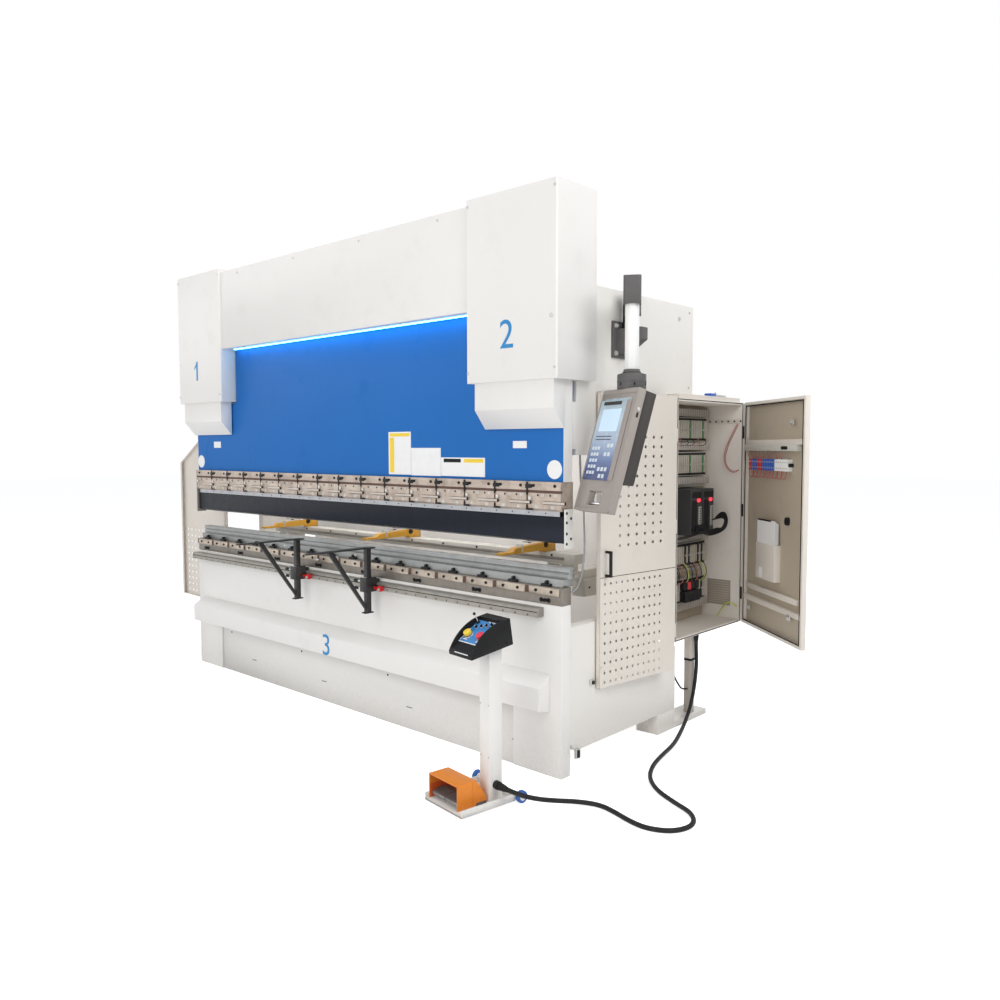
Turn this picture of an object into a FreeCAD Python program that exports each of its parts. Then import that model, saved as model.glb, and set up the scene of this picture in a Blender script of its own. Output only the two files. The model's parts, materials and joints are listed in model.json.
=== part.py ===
import FreeCAD, Part
import math
import os
import Sketcher

# Hydraulic press brake: frame, ram, tooling, back gauge, guards, electrical cabinet,
# operator pendant and foot-pedal pedestal. Millimetres, +X to the operator's right,
# +Y into the machine, +Z up. The origin is on the floor below the middle of the ram's front face.

SIZES = {
    # side frames, C-shaped plates cut from heavy sheet
    "machine_half": 1600, "frame_plate": 60, "frame_low": 105, "frame_corner": 40,
    "throat_low": 679, "throat_high": 1454, "throat_back": 465, "throat_round": 70,
    "neck_back": 790, "foot_back": 955, "foot_top": 440, "neck_low": 480,
    "jaw_front": 90, "head_front": 180, "head_low": 1784, "frame_top": 2222,
    "housing_back": 1100, "housing_low": 1745,
    # bed beam with two legs down to the floor
    "bed_front": -12, "bed_thick": 66, "bed_top": 784, "leg_inner": 1313, "bed_web_low": 290,
    "cover_sheet": 12, "cover_setback": 8, "cover_gap": 5,
    # belly cover across the front of the bed
    "belly_inset": 65, "belly_depth": 81, "belly_low": 296, "belly_nose_low": 312,
    "belly_nose_top": 418, "belly_top": 469,
    # ram and its guides
    "ram_inset": 2, "ram_thick": 60, "ram_low": 1335, "ram_shoulder": 1777,
    "ram_centre_half": 1092, "ram_top": 2250, "guide_low": 1480, "guide_high": 1690,
    "slide_gap": 0.3,
    # cylinder covers and the beam cover between them
    "cover_overhang": 41, "cover_gap_inner": 11, "cover_front": 103, "cover_top": 2621,
    "cover_edge_round": 10,
    "low_cover_overhang": 10, "low_cover_setback": 36, "low_cover_front": 84,
    "low_cover_back": 8, "low_cover_low": 1573, "low_cover_knee": 1659,
    "beam_cover_front": 89, "beam_cover_low": 2117, "beam_cover_top": 2599,
    "beam_cover_sheet": 60, "beam_cover_shelf": 2310,
    # tool clamps along the ram's lower edge
    "clamp_pitch": 200, "clamp_slot": 9, "clamp_inset": 6, "clamp_front": -15,
    "clamp_back": 75, "clamp_low": 1204, "clamp_groove": 9, "clamp_groove_low": 1284,
    "clamp_groove_high": 1296, "clamp_chamfer": 10,
    "lever_long": 124, "lever_high": 11, "lever_deep": 9, "lever_low": 1236, "lever_shift": 61,
    # punch and its adapter strip
    "adapter_inset": 20, "adapter_back": 50, "adapter_low": 1181, "adapter_front": -2,
    "punch_back": 34, "punch_heel": 1069, "punch_tip_low": 1055,
    "punch_tip_flat": 2, "punch_waist": 1100, "bend_line": 57,
    # crowning base, die holder and die
    "base_front": -10, "base_back": 55, "base_high": 80,
    "holder_inset": 12, "holder_front": 12, "holder_back": 82, "holder_top": 899,
    "die_width": 40, "die_top": 950, "groove_half": 6, "groove_deep": 9,
    "side_groove_low": 918, "side_groove_high": 930,
    "plate_pitch": 200, "plate_gap": 26, "plate_thick": 8,
    "plate_low": 828, "plate_top": 861,
    # guide rail along the front of the bed, for the support arms
    "rail_inset_right": 103, "rail_low": 728, "rail_top": 770, "rail_deep": 46,
    "rail_lip": 8,
    # front sheet supports
    "arm_left_at": -295, "arm_right_at": 352, "arm_tip": -486, "arm_root": -62,
    "arm_top": 959, "blade_thick": 7, "blade_root_half": 26, "blade_tip_half": 12,
    "post_half": 14, "post_front": -112, "post_back": -84, "post_low": 612,
    "brace_out": -352, "brace_thick": 26, "foot_pad": 6,
    "block_half": 27, "block_front": -128, "block_low": 722, "block_top": 798,
    "spindle_radius": 8, "spindle_long": 36, "knob_radius": 15, "knob_long": 24,
    # back gauge
    "gauge_rail_inset": 120, "gauge_rail_half": 28, "gauge_rail_low": 800, "gauge_rail_top": 842,
    "gauge_web_low": 550,
    "gauge_rail_back": 915, "carriage_front": 420, "carriage_back": 560, "carriage_half": 48,
    "carriage_top": 900, "beam_half": 1330, "gauge_beam_front": 430, "gauge_beam_back": 520,
    "gauge_beam_top": 950, "finger_first": -970, "finger_pitch": 1045, "finger_half": 20,
    "finger_tip": 104, "finger_low": 960, "tongue_thick": 12, "finger_step": 186,
    "finger_body_top": 988, "finger_rear_top": 1004,
    # perforated side guards, hinged at the rear
    "guard_front": 233, "guard_low": 367, "guard_top": 1742, "guard_thick": 25,
    "guard_hinge_out": 86, "guard_hinge_y": 797, "guard_closed_out": 18,
    "knuckle_radius": 7.7, "knuckle_long": 70, "hinge_gap": 0.3,
    "grip_low": 889, "grip_top": 1011, "grip_out": 38, "grip_bar": 12, "grip_from_edge": 36,
    "wing_hinge_out": 12, "wing_hinge_y": 215, "wing_turn": 93, "wing_drop": 372,
    "wing_long": 712, "guard_rim": 18, "guard_sheet": 3,
    # electrical cabinet on the right-hand side
    "cabinet_inset": 170, "cabinet_deep": 255, "cabinet_front": 805, "cabinet_rear": 1515,
    "cabinet_low": 497, "cabinet_top": 1735, "cabinet_wall": 15,
    "cap_inset": 14, "cap_high": 24, "mount_plate": 5, "mount_inset": 18,
    "foot_duct_inset": 58, "foot_duct_y": 1150, "foot_duct": 40,
    "duct_deep": 50, "duct_high": 42, "module_deep": 62, "module_high": 130,
    "module_width": 560, "module_upper": 1520, "module_lower": 1330,
    "contactor_upper": 830, "contactor_low": 630, "duct_space": 6,
    "drive_deep": 150, "drive_width": 118, "drive_high": 250, "drive_low": 1010,
    "drive_from_wall": 280, "drive_pitch": 130,
    # cabinet door
    "door_thick": 25, "door_gap": 2, "door_rim": 16, "door_sheet": 3, "door_axis_out": 8,
    "door_open": 50, "door_bar_low": 1500, "door_bar_high": 26,
    "door_stiff_low": 640,
    # pendant
    "bracket_front": 352, "bracket_back": 500, "bracket_low": 1905, "bracket_top": 2075,
    "bracket_sheet": 12, "lug_reach": 142, "lug_low": 1925, "lug_top": 2040, "lug_half": 26,
    "pivot_out": 76, "pivot_y": 416, "pivot_radius": 23,
    "drop_out": 250, "drop_y": 150, "tube_radius": 30, "arm_axis": 2156,
    "elbow_half": 38, "elbow_low": 2098, "elbow_top": 2216,
    "collar_top": 1822, "neck_low_at": 1800, "collar_low": 1738, "neck_radius": 35,
    "collar_radius": 62, "panel_turn": -21, "panel_tilt": 16.5,
    "panel_width": 268, "panel_long": 540, "panel_front": 52, "panel_frame": 36,
    "panel_box_deep": 62, "panel_box_long": 400, "panel_box_inset": 14,
    "hand_hole_wide": 96, "hand_hole_high": 62, "hand_hole_low": 26, "glass_wide": 190,
    "glass_long": 330, "glass_down": 42, "glass_thick": 3, "bar_radius": 7,
    # pedestal with console and foot pedals
    "pedestal_x": 1517, "pedestal_y": -385, "pedestal_turn": -8,
    "tray_left": 180, "tray_right": 78, "tray_front": 214, "tray_back": 70,
    "tray_sheet": 6, "tray_rim": 30, "pillar_half": 33, "pillar_top": 664,
    "axle_back": 86, "axle_radius": 8, "axle_height": 26, "wheel_radius": 26, "wheel_wide": 20,
    "pad_radius": 14, "pad_inset": 26, "pad_high": 6,
    "console_half": 76, "console_front": 160, "console_back": 60,
    "console_nose": 30, "console_high": 112, "console_tilt": 9,
    "console_cheek": 8, "console_arch": 215, "arch_middle": 20,
    "deck_inset": 20, "deck_end": 14, "deck_sunk": 12,
    "button_out": 42, "button_radius": 17, "button_high": 14, "button_lift": 7,
    "stem_radius": 8, "stem_deep": 14, "button_along": 74,
    "hood_left": 174, "hood_right": 26, "hood_front": 196, "hood_high": 106,
    "hood_flat": 96, "hood_end": 44, "hood_sheet": 5, "hood_end_high": 26,
    "pedal_gap": 6, "pedal_thick": 12, "pedal_front": 186, "pedal_back": 70,
    "pedal_low": 16, "pedal_rise": 12, "pedal_base_high": 10, "pedal_pin": 6,
    # rear feet
    "foot_plate_back": 1292, "foot_plate_wide": 130, "foot_plate_high": 28,
    "foot_bolt_y": 1205, "foot_bolt_inset": 70, "foot_bolt_radius": 15, "foot_bolt_top": 165,
    # rear sheet between the side frames
    "rear_sheet": 12, "rear_sheet_low": 300, "rear_sheet_front": 915,
    # leads
    "floor_lead": 20, "thin_lead": 9, "lead_exit": 80, "gland_radius": 18, "gland_long": 24,
    "lead_entry_y": 1175, "sensor_entry_y": 985, "sensor_entry_inset": 30,
}

doc = FreeCAD.newDocument("PressBrake")
sheet = doc.addObject("Spreadsheet::Sheet", "Sizes")


class Size:
    """A length together with its worksheet formula, so that sums of sizes stay bound."""

    def __init__(self, value, text):
        self.value = value
        self.text = text

    def __add__(self, other):
        other = sized(other)
        return Size(self.value + other.value, f"({self.text} + {other.text})")

    def __sub__(self, other):
        other = sized(other)
        return Size(self.value - other.value, f"({self.text} - {other.text})")

    def __mul__(self, other):
        other = sized(other)
        return Size(self.value * other.value, f"({self.text} * {other.text})")

    def __truediv__(self, other):
        other = sized(other)
        return Size(self.value / other.value, f"({self.text} / {other.text})")

    def __neg__(self):
        return Size(-self.value, f"(0 - {self.text})")

    def __radd__(self, other):
        return sized(other) + self

    def __rsub__(self, other):
        return sized(other) - self

    def __rmul__(self, other):
        return sized(other) * self


def sized(number):
    return number if isinstance(number, Size) else Size(float(number), f"({number})")


class Worksheet:
    """Reads each named cell of the sheet as a Size."""

    def __init__(self, values):
        for row, (name, value) in enumerate(values.items(), start=1):
            sheet.set(f"A{row}", name)
            sheet.set(f"B{row}", str(value))
            sheet.setAlias(f"B{row}", name)
            setattr(self, name, Size(float(value), f"Sizes.{name}"))


S = Worksheet(SIZES)
doc.recompute()

# Places that follow the machine's half length, each by its own inset or overhang
S.ram_half = S.machine_half - S.ram_inset
S.belly_half = S.machine_half - S.belly_inset
S.cover_half = S.machine_half + S.cover_overhang
S.cover_inner = S.ram_centre_half + S.cover_gap_inner
S.low_cover_half = S.machine_half + S.low_cover_overhang
S.low_cover_inner = S.cover_inner + S.low_cover_setback
S.clamp_half = S.machine_half - S.clamp_inset
S.adapter_half = S.machine_half - S.adapter_inset
S.holder_half = S.machine_half - S.holder_inset
S.rail_right = S.machine_half - S.rail_inset_right
S.gauge_rail_at = S.beam_half - S.gauge_rail_inset
S.guard_hinge_x = S.machine_half + S.guard_hinge_out
S.guard_closed_x = S.machine_half + S.guard_closed_out
S.wing_hinge_x = S.machine_half + S.wing_hinge_out
S.cabinet_back = S.machine_half - S.cabinet_inset
S.cabinet_face = S.cabinet_back + S.cabinet_deep
S.foot_duct_x = S.machine_half - S.foot_duct_inset
S.lug_out = S.machine_half + S.lug_reach
S.pivot_x = S.machine_half + S.pivot_out
S.drop_x = S.machine_half + S.drop_out
S.foot_plate_inner = S.machine_half - S.foot_plate_wide
S.foot_bolt_x = S.machine_half - S.foot_bolt_inset


def bind(thing, place, size):
    thing.setExpression(place, sized(size).text)


def block(name, low, high):
    thing = doc.addObject("Part::Box", name)
    for axis, start in zip("xyz", low):
        bind(thing, f"Placement.Base.{axis}", start)
    for side, start, end in zip(("Length", "Width", "Height"), low, high):
        bind(thing, side, sized(end) - start)
    return thing


AXIS_TURNS = {
    "x": FreeCAD.Rotation(FreeCAD.Vector(0, 1, 0), 90),
    "y": FreeCAD.Rotation(FreeCAD.Vector(1, 0, 0), -90),
    "z": FreeCAD.Rotation(),
}


def rod(name, base, axis, radius, length):
    thing = doc.addObject("Part::Cylinder", name)
    thing.Placement = FreeCAD.Placement(FreeCAD.Vector(), AXIS_TURNS[axis])
    for direction, start in zip("xyz", base):
        bind(thing, f"Placement.Base.{direction}", start)
    bind(thing, "Radius", radius)
    bind(thing, "Height", length)
    return thing


def prism(name, plane, corners, start, end):
    """A closed outline on one of the body's planes, padded from start to end along its normal."""
    body = doc.addObject("PartDesign::Body", name)
    sketch = body.newObject("Sketcher::SketchObject", name + "Outline")
    base = [f for f in body.Origin.OriginFeatures if f.Role == plane][0]
    sketch.AttachmentSupport = [(base, "")]
    sketch.MapMode = "FlatFace"
    towards = -1 if plane == "XZ_Plane" else 1
    bind(sketch, "AttachmentOffset.Base.z", sized(start) * towards)
    points = [FreeCAD.Vector(sized(a).value, sized(b).value, 0) for a, b in corners]
    for here, there in zip(points, points[1:] + points[:1]):
        sketch.addGeometry(Part.LineSegment(here, there))
    for number in range(len(points)):
        sketch.addConstraint(Sketcher.Constraint("Coincident", number, 2, (number + 1) % len(points), 1))
    for number, (a, b) in enumerate(corners):
        for kind, value in (("DistanceX", sized(a)), ("DistanceY", sized(b))):
            at = sketch.addConstraint(Sketcher.Constraint(kind, -1, 1, number, 1, value.value))
            bind(sketch, f"Constraints[{at}]", value)
    pad = body.newObject("PartDesign::Pad", name + "Pad")
    pad.Profile = sketch
    pad.Reversed = plane == "XZ_Plane"
    bind(pad, "Length", sized(end) - start)
    sketch.Visibility = False
    return body


def edges_along(shape, axis, marks):
    """Names of straight edges along axis whose middle lies at one of the marked places."""
    found = []
    across = [n for n in range(3) if n != "xyz".index(axis)]
    for number, edge in enumerate(shape.Edges, start=1):
        middle = edge.CenterOfMass
        box = edge.BoundBox
        if (box.XLength, box.YLength, box.ZLength)["xyz".index(axis)] < 1:
            continue
        for mark in marks:
            away = max(abs(middle[n] - sized(m).value) for n, m in zip(across, mark))
            if away < 0.5:
                found.append(f"Edge{number}")
    return found


def rounded(body, axis, marks, radius):
    """Rounds the body's edges that run along axis at the marked places."""
    doc.recompute()
    source = body.Tip
    fillet = body.newObject("PartDesign::Fillet", body.Name + "Round")
    fillet.Base = (source, edges_along(source.Shape, axis, marks))
    bind(fillet, "Radius", radius)
    body.Tip = fillet
    return body


def minus(name, base, tools):
    thing = doc.addObject("Part::Cut", name)
    thing.Base = base
    thing.Tool = tools[0] if len(tools) == 1 else several(name + "Tools", tools)
    return thing


def union(name, parts):
    thing = doc.addObject("Part::MultiFuse", name)
    thing.Shapes = parts
    return thing


def several(name, parts):
    thing = doc.addObject("Part::Compound", name)
    thing.Links = parts
    return thing


def placed(thing, x, y, z, turn=0.0, tilt=0.0):
    """Turns a piece about the vertical and tilts it about its own width, then sets it down."""
    upright = FreeCAD.Rotation(FreeCAD.Vector(0, 0, 1), sized(turn).value)
    leaning = FreeCAD.Rotation(FreeCAD.Vector(1, 0, 0), sized(tilt).value)
    base = FreeCAD.Vector(sized(x).value, sized(y).value, sized(z).value)
    thing.Placement = FreeCAD.Placement(base, upright.multiply(leaning))
    return thing


nodes = {}


def node(name, thing):
    """Marks a piece as a finished sub-part: its label names its file."""
    thing.Label = name
    nodes[name] = thing
    return thing


# Side frames: C-shaped plates with a throat in front, a foot and head that reach back,
# and a guide pad for the ram on the upper jaw
def side_frame(name, start):
    outline = [
        (bed_back + S.frame_corner, S.frame_low), (S.foot_back, S.frame_low),
        (S.foot_back, S.foot_top), (S.neck_back, S.neck_low), (S.neck_back, S.housing_low),
        (S.housing_back, S.housing_low), (S.housing_back, S.frame_top),
        (S.head_front, S.frame_top), (S.head_front, S.head_low), (S.jaw_front, S.head_low),
        (S.jaw_front, S.guide_high), (guide_face, S.guide_high), (guide_face, S.guide_low),
        (S.jaw_front, S.guide_low), (S.jaw_front, S.throat_high), (S.throat_back, S.throat_high),
        (S.throat_back, S.throat_low), (bed_back, S.throat_low),
        (bed_back, S.frame_low + S.frame_corner),
    ]
    body = prism(name, "YZ_Plane", outline, start, start + S.frame_plate)
    corners = [(S.throat_back, S.throat_high), (S.throat_back, S.throat_low)]
    return node(name, rounded(body, "x", corners, S.throat_round))


bed_back = S.bed_front + S.bed_thick
guide_face = S.ram_thick + S.slide_gap
frame_inner = S.machine_half - S.frame_plate
side_frame("side_frame_right", frame_inner)
side_frame("side_frame_left", -S.machine_half)

# Closed housing between the frames' heads, with the rear sheet below it
node("rear_housing", union("RearHousing", [
    block("HeadHousing", (-frame_inner, S.head_front, S.housing_low),
          (frame_inner, S.housing_back, S.frame_top)),
    prism("RearSheet", "XZ_Plane", [
        (-frame_inner, S.rear_sheet_low), (frame_inner, S.rear_sheet_low),
        (frame_inner, S.foot_top - 20), (S.cabinet_back - 10, S.foot_top - 20),
        (S.cabinet_back - 10, S.housing_low + 1), (-frame_inner, S.housing_low + 1),
    ], S.rear_sheet_front, S.rear_sheet_front + S.rear_sheet)]))

# Bed beam: a deep plate on two legs, with a cover sheet between the legs
bed_outline = [
    (-S.machine_half, 0), (-S.leg_inner, 0), (-S.leg_inner, S.bed_web_low),
    (S.leg_inner, S.bed_web_low), (S.leg_inner, 0), (S.machine_half, 0),
    (S.machine_half, S.bed_top), (-S.machine_half, S.bed_top),
]
node("bed_plate", prism("bed_plate", "XZ_Plane", bed_outline, S.bed_front, bed_back))
node("bed_lower_cover", block("BedLowerCover",
                              (-(S.leg_inner - S.cover_gap), S.bed_front + S.cover_setback, 0),
                              (S.leg_inner - S.cover_gap,
                               S.bed_front + S.cover_setback + S.cover_sheet, S.bed_web_low)))
belly_front = S.bed_front - S.belly_depth
belly_outline = [
    (S.bed_front, S.belly_low), (S.bed_front, S.belly_top),
    (belly_front, S.belly_nose_top), (belly_front, S.belly_nose_low),
]
node("belly_cover", prism("belly_cover", "YZ_Plane", belly_outline, -S.belly_half, S.belly_half))

# Ram: a wide plate with a raised centre, guided at both ends
ram_outline = [
    (-S.ram_half, S.ram_low), (S.ram_half, S.ram_low), (S.ram_half, S.ram_shoulder),
    (S.ram_centre_half, S.ram_shoulder), (S.ram_centre_half, S.ram_top),
    (-S.ram_centre_half, S.ram_top), (-S.ram_centre_half, S.ram_shoulder),
    (-S.ram_half, S.ram_shoulder),
]
node("ram_plate", prism("ram_plate", "XZ_Plane", ram_outline, 0, S.ram_thick))

# Cylinder covers at both ends and the beam cover between them
cover_pieces = []
for side, start, low_start in (("right", S.cover_inner, S.low_cover_inner),
                               ("left", -S.cover_half, -S.low_cover_half)):
    upper = prism(f"cylinder_cover_{side}", "XY_Plane", [
        (start, -S.cover_front), (start + S.cover_half - S.cover_inner, -S.cover_front),
        (start + S.cover_half - S.cover_inner, S.head_front), (start, S.head_front),
    ], S.head_low, S.cover_top)
    fronts = [(start, -S.cover_front), (start + S.cover_half - S.cover_inner, -S.cover_front)]
    rounded(upper, "z", fronts, S.cover_edge_round)
    lower = prism(f"lower_cover_{side}", "YZ_Plane", [
        (-S.low_cover_front, S.head_low), (-S.low_cover_front, S.low_cover_knee),
        (-S.low_cover_back - 6, S.low_cover_low), (-S.low_cover_back, S.low_cover_low),
        (-S.low_cover_back, S.head_low),
    ], low_start, low_start + S.low_cover_half - S.low_cover_inner)
    cover_pieces.append(union(f"CylinderCover{side}", [upper, lower]))
node("cylinder_covers", several("CylinderCovers", cover_pieces))
beam_outline = [
    (-S.beam_cover_front, S.beam_cover_low), (-S.beam_cover_front + S.beam_cover_sheet, S.beam_cover_low),
    (-S.beam_cover_front + S.beam_cover_sheet, S.beam_cover_shelf), (S.head_front, S.beam_cover_shelf),
    (S.head_front, S.beam_cover_top), (-S.beam_cover_front, S.beam_cover_top),
]
node("beam_cover", prism("beam_cover", "YZ_Plane", beam_outline, -S.cover_inner, S.cover_inner))

# Tool clamps: one long profile parted into separate clamps by the slots between them
clamp_outline = [
    (S.clamp_front, S.ram_low), (S.clamp_front, S.clamp_groove_high),
    (S.clamp_front + S.clamp_groove, S.clamp_groove_high),
    (S.clamp_front + S.clamp_groove, S.clamp_groove_low), (S.clamp_front, S.clamp_groove_low),
    (S.clamp_front, S.clamp_low + S.clamp_chamfer), (S.clamp_front + S.clamp_chamfer, S.clamp_low),
    (S.clamp_back, S.clamp_low), (S.clamp_back, S.ram_low),
]
clamp_bar = prism("ClampBar", "YZ_Plane", clamp_outline, -S.clamp_half, S.clamp_half)
clamp_count = 2 * int(SIZES["machine_half"] / SIZES["clamp_pitch"])
slots = []
for number in range(clamp_count - 1):
    middle = S.clamp_pitch * (number + 1) - S.clamp_pitch * (clamp_count / 2)
    slots.append(block(f"ClampSlot{number}",
                       (middle - S.clamp_slot / 2, S.clamp_front - 1, S.clamp_low - 1),
                       (middle + S.clamp_slot / 2, S.clamp_back + 1, S.ram_low + 1)))
node("tool_clamps", minus("ToolClamps", clamp_bar, slots))
levers = []
for number in range(clamp_count):
    middle = S.clamp_pitch * (number + 0.5) - S.clamp_pitch * (clamp_count / 2) + S.lever_shift
    levers.append(block(f"ClampLever{number}",
                        (middle - S.lever_long / 2, S.clamp_front - S.lever_deep, S.lever_low),
                        (middle + S.lever_long / 2, S.clamp_front, S.lever_low + S.lever_high)))
node("clamp_levers", several("ClampLevers", levers))

# Punch: adapter strip above, flat front face, heel running back to the tip on the bend line
adapter = block("PunchAdapter", (-S.adapter_half, S.adapter_front, S.adapter_low),
                (S.adapter_half, S.adapter_back, S.clamp_low))
punch_outline = [
    (0, S.adapter_low), (0, S.punch_heel), (S.bend_line - S.punch_tip_flat, S.punch_tip_low),
    (S.bend_line + S.punch_tip_flat, S.punch_tip_low), (S.punch_back, S.punch_waist),
    (S.punch_back, S.adapter_low),
]
blade = prism("PunchBlade", "YZ_Plane", punch_outline, -S.machine_half, S.machine_half)
node("punch", union("Punch", [adapter, blade]))

# Crowning base with its row of clamp plates, die holder and grooved die
base_top = S.bed_top + S.base_high
node("crowning_base", block("CrowningBase", (-S.machine_half, S.base_front, S.bed_top),
                            (S.machine_half, S.base_back, base_top)))
plates = []
for number in range(clamp_count):
    middle = S.plate_pitch * (number + 0.5) - S.plate_pitch * (clamp_count / 2)
    plates.append(block(f"ClampPlate{number}",
                        (middle - (S.plate_pitch - S.plate_gap) / 2, S.base_front - S.plate_thick,
                         S.plate_low),
                        (middle + (S.plate_pitch - S.plate_gap) / 2, S.base_front, S.plate_top)))
node("die_clamp_plates", several("DieClampPlates", plates))
node("die_holder", block("DieHolder", (-S.holder_half, S.holder_front, base_top),
                         (S.holder_half, S.holder_back, S.holder_top)))
die_front = S.bend_line - S.die_width / 2
die_back = S.bend_line + S.die_width / 2
side_middle = (S.side_groove_low + S.side_groove_high) / 2
die_outline = [
    (die_front, S.holder_top), (die_front, S.side_groove_low), (die_front + S.groove_half, side_middle),
    (die_front, S.side_groove_high), (die_front, S.die_top), (S.bend_line - S.groove_half, S.die_top),
    (S.bend_line, S.die_top - S.groove_deep), (S.bend_line + S.groove_half, S.die_top),
    (die_back, S.die_top), (die_back, S.side_groove_high), (die_back - S.groove_half, side_middle),
    (die_back, S.side_groove_low), (die_back, S.holder_top),
]
node("v_die", prism("v_die", "YZ_Plane", die_outline, -S.machine_half, S.machine_half))

# Guide rail on the bed's front, with an undercut lip for the support arms
rail_front = S.bed_front - S.rail_deep
rail_outline = [
    (S.bed_front, S.rail_low), (rail_front, S.rail_low), (rail_front, S.rail_top - S.rail_lip),
    (rail_front + S.rail_lip, S.rail_top), (S.bed_front, S.rail_top),
]
node("front_rail", prism("front_rail", "YZ_Plane", rail_outline, -S.machine_half, S.rail_right))


# Sheet supports: a tapered blade on a post with a brace, in a block that slides on the rail
def support_arm(side, at):
    blade = prism(f"Blade{side}", "XY_Plane", [
        (at - S.blade_root_half, S.arm_root), (at - S.blade_tip_half, S.arm_tip),
        (at + S.blade_tip_half, S.arm_tip), (at + S.blade_root_half, S.arm_root),
    ], S.arm_top - S.blade_thick, S.arm_top)
    post = block(f"Post{side}", (at - S.post_half, S.post_front, S.post_low),
                 (at + S.post_half, S.post_back, S.arm_top - S.blade_thick / 2))
    brace = prism(f"Brace{side}", "YZ_Plane", [
        (S.post_front + 4, S.post_low + 4), (S.post_front + 4, S.post_low + 4 + S.brace_thick),
        (S.brace_out + S.brace_thick, S.arm_top - S.blade_thick / 2),
        (S.brace_out - S.brace_thick / 4, S.arm_top - S.blade_thick / 2),
    ], at - S.post_half / 2, at + S.post_half / 2)
    pad = block(f"Pad{side}", (at - S.post_half - 3, S.post_front - 14, S.post_low - S.foot_pad),
                (at + S.post_half + 3, S.post_back + 14, S.post_low))
    block_back = rail_front - S.slide_gap
    body = block(f"Block{side}", (at - S.block_half, S.block_front, S.block_low),
                 (at + S.block_half, block_back, S.block_top))
    hook = prism(f"Hook{side}", "YZ_Plane", [
        (block_back - 1, S.rail_top - S.rail_lip), (block_back, S.rail_top - S.rail_lip),
        (block_back + S.rail_lip, S.rail_top + S.slide_gap * 2),
        (rail_front + S.rail_deep / 2, S.rail_top + S.slide_gap * 2),
        (rail_front + S.rail_deep / 2, S.block_top - 10), (block_back - 1, S.block_top - 10),
    ], at - S.block_half, at + S.block_half)
    node(f"support_arm_{side}", union(f"SupportArm{side}", [blade, post, brace, pad, body, hook]))
    level = S.block_low + S.knob_radius + 4
    depth = (S.post_back + block_back) / 2
    spindle = rod(f"Spindle{side}", (at + S.block_half, depth - 2, level), "x",
                  S.spindle_radius, S.spindle_long)
    knob = rod(f"Knob{side}", (at + S.block_half + S.spindle_long - 1, depth - 2, level), "x",
               S.knob_radius, S.knob_long)
    node(f"support_knob_{side}", union(f"SupportKnob{side}", [spindle, knob]))


support_arm("left", S.arm_left_at)
support_arm("right", S.arm_right_at)

# Back gauge: two rails behind the bed, a beam on carriages and three stop fingers
gauge_rails = []
for side, at in (("Right", S.gauge_rail_at), ("Left", -S.gauge_rail_at)):
    rail = block(f"GaugeRail{side}", (at - S.gauge_rail_half, S.holder_back + 50, S.gauge_rail_low),
                 (at + S.gauge_rail_half, S.gauge_rail_back, S.gauge_rail_top))
    web = block(f"GaugeWeb{side}", (at - S.gauge_rail_half / 2, bed_back, S.gauge_web_low),
                (at + S.gauge_rail_half / 2, S.gauge_rail_back / 2, S.bed_top - S.slide_gap))
    riser = block(f"GaugeRiser{side}", (at - S.gauge_rail_half / 2, S.base_back + S.slide_gap,
                                        S.gauge_web_low),
                  (at + S.gauge_rail_half / 2, S.gauge_rail_back / 2, S.gauge_rail_low))
    gauge_rails.append(union(f"GaugeRailWhole{side}", [rail, web, riser]))
node("gauge_rails", several("GaugeRails", gauge_rails))
carriages = []
for side, at in (("Right", S.gauge_rail_at), ("Left", -S.gauge_rail_at)):
    carriages.append(block(f"Carriage{side}",
                           (at - S.carriage_half, S.carriage_front, S.gauge_rail_top + S.slide_gap),
                           (at + S.carriage_half, S.carriage_back, S.carriage_top)))
gauge_bar = block("GaugeBar", (-S.beam_half, S.gauge_beam_front, S.carriage_top),
                  (S.beam_half, S.gauge_beam_back, S.gauge_beam_top))
node("gauge_beam", union("GaugeBeam", carriages + [gauge_bar]))
fingers = []
for number in range(3):
    at = S.finger_first + S.finger_pitch * number
    fingers.append(prism(f"Finger{number}", "YZ_Plane", [
        (S.finger_tip, S.finger_low), (S.gauge_beam_front - 1, S.finger_low),
        (S.gauge_beam_front - 1, S.gauge_beam_top), (S.gauge_beam_back, S.gauge_beam_top),
        (S.gauge_beam_back, S.finger_rear_top), (S.finger_step + 20, S.finger_body_top),
        (S.finger_step, S.finger_low + S.tongue_thick), (S.finger_tip, S.finger_low + S.tongue_thick),
    ], at - S.finger_half, at + S.finger_half))
node("gauge_fingers", several("GaugeFingers", fingers))

# Perforated side guards, each drawn along -Y from its hinge and then turned. The right-hand one
# is shut, from a hinge on the cabinet to the frame; the left-hand one stands open to the left
def grip(side, face, edge, away):
    """A bow handle on two legs, standing off the guard's outer face."""
    far = face + S.grip_out * away
    low, high = (face, far) if away > 0 else (far, face)
    bar_low, bar_high = (far - S.grip_bar, far) if away > 0 else (far, far + S.grip_bar)
    parts = [block(f"GripBar{side}", (bar_low, edge - S.grip_bar / 2, S.grip_low - S.guard_low),
                   (bar_high, edge + S.grip_bar / 2, S.grip_top - S.guard_low))]
    for number, level in enumerate((S.grip_low, S.grip_top - S.grip_bar)):
        parts.append(block(f"GripLeg{side}{number}", (low, edge - S.grip_bar / 2, level - S.guard_low),
                           (high, edge + S.grip_bar / 2, level - S.guard_low + S.grip_bar)))
    return node(f"guard_handle_{side}", union(f"GuardHandle{side}", parts))


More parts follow.
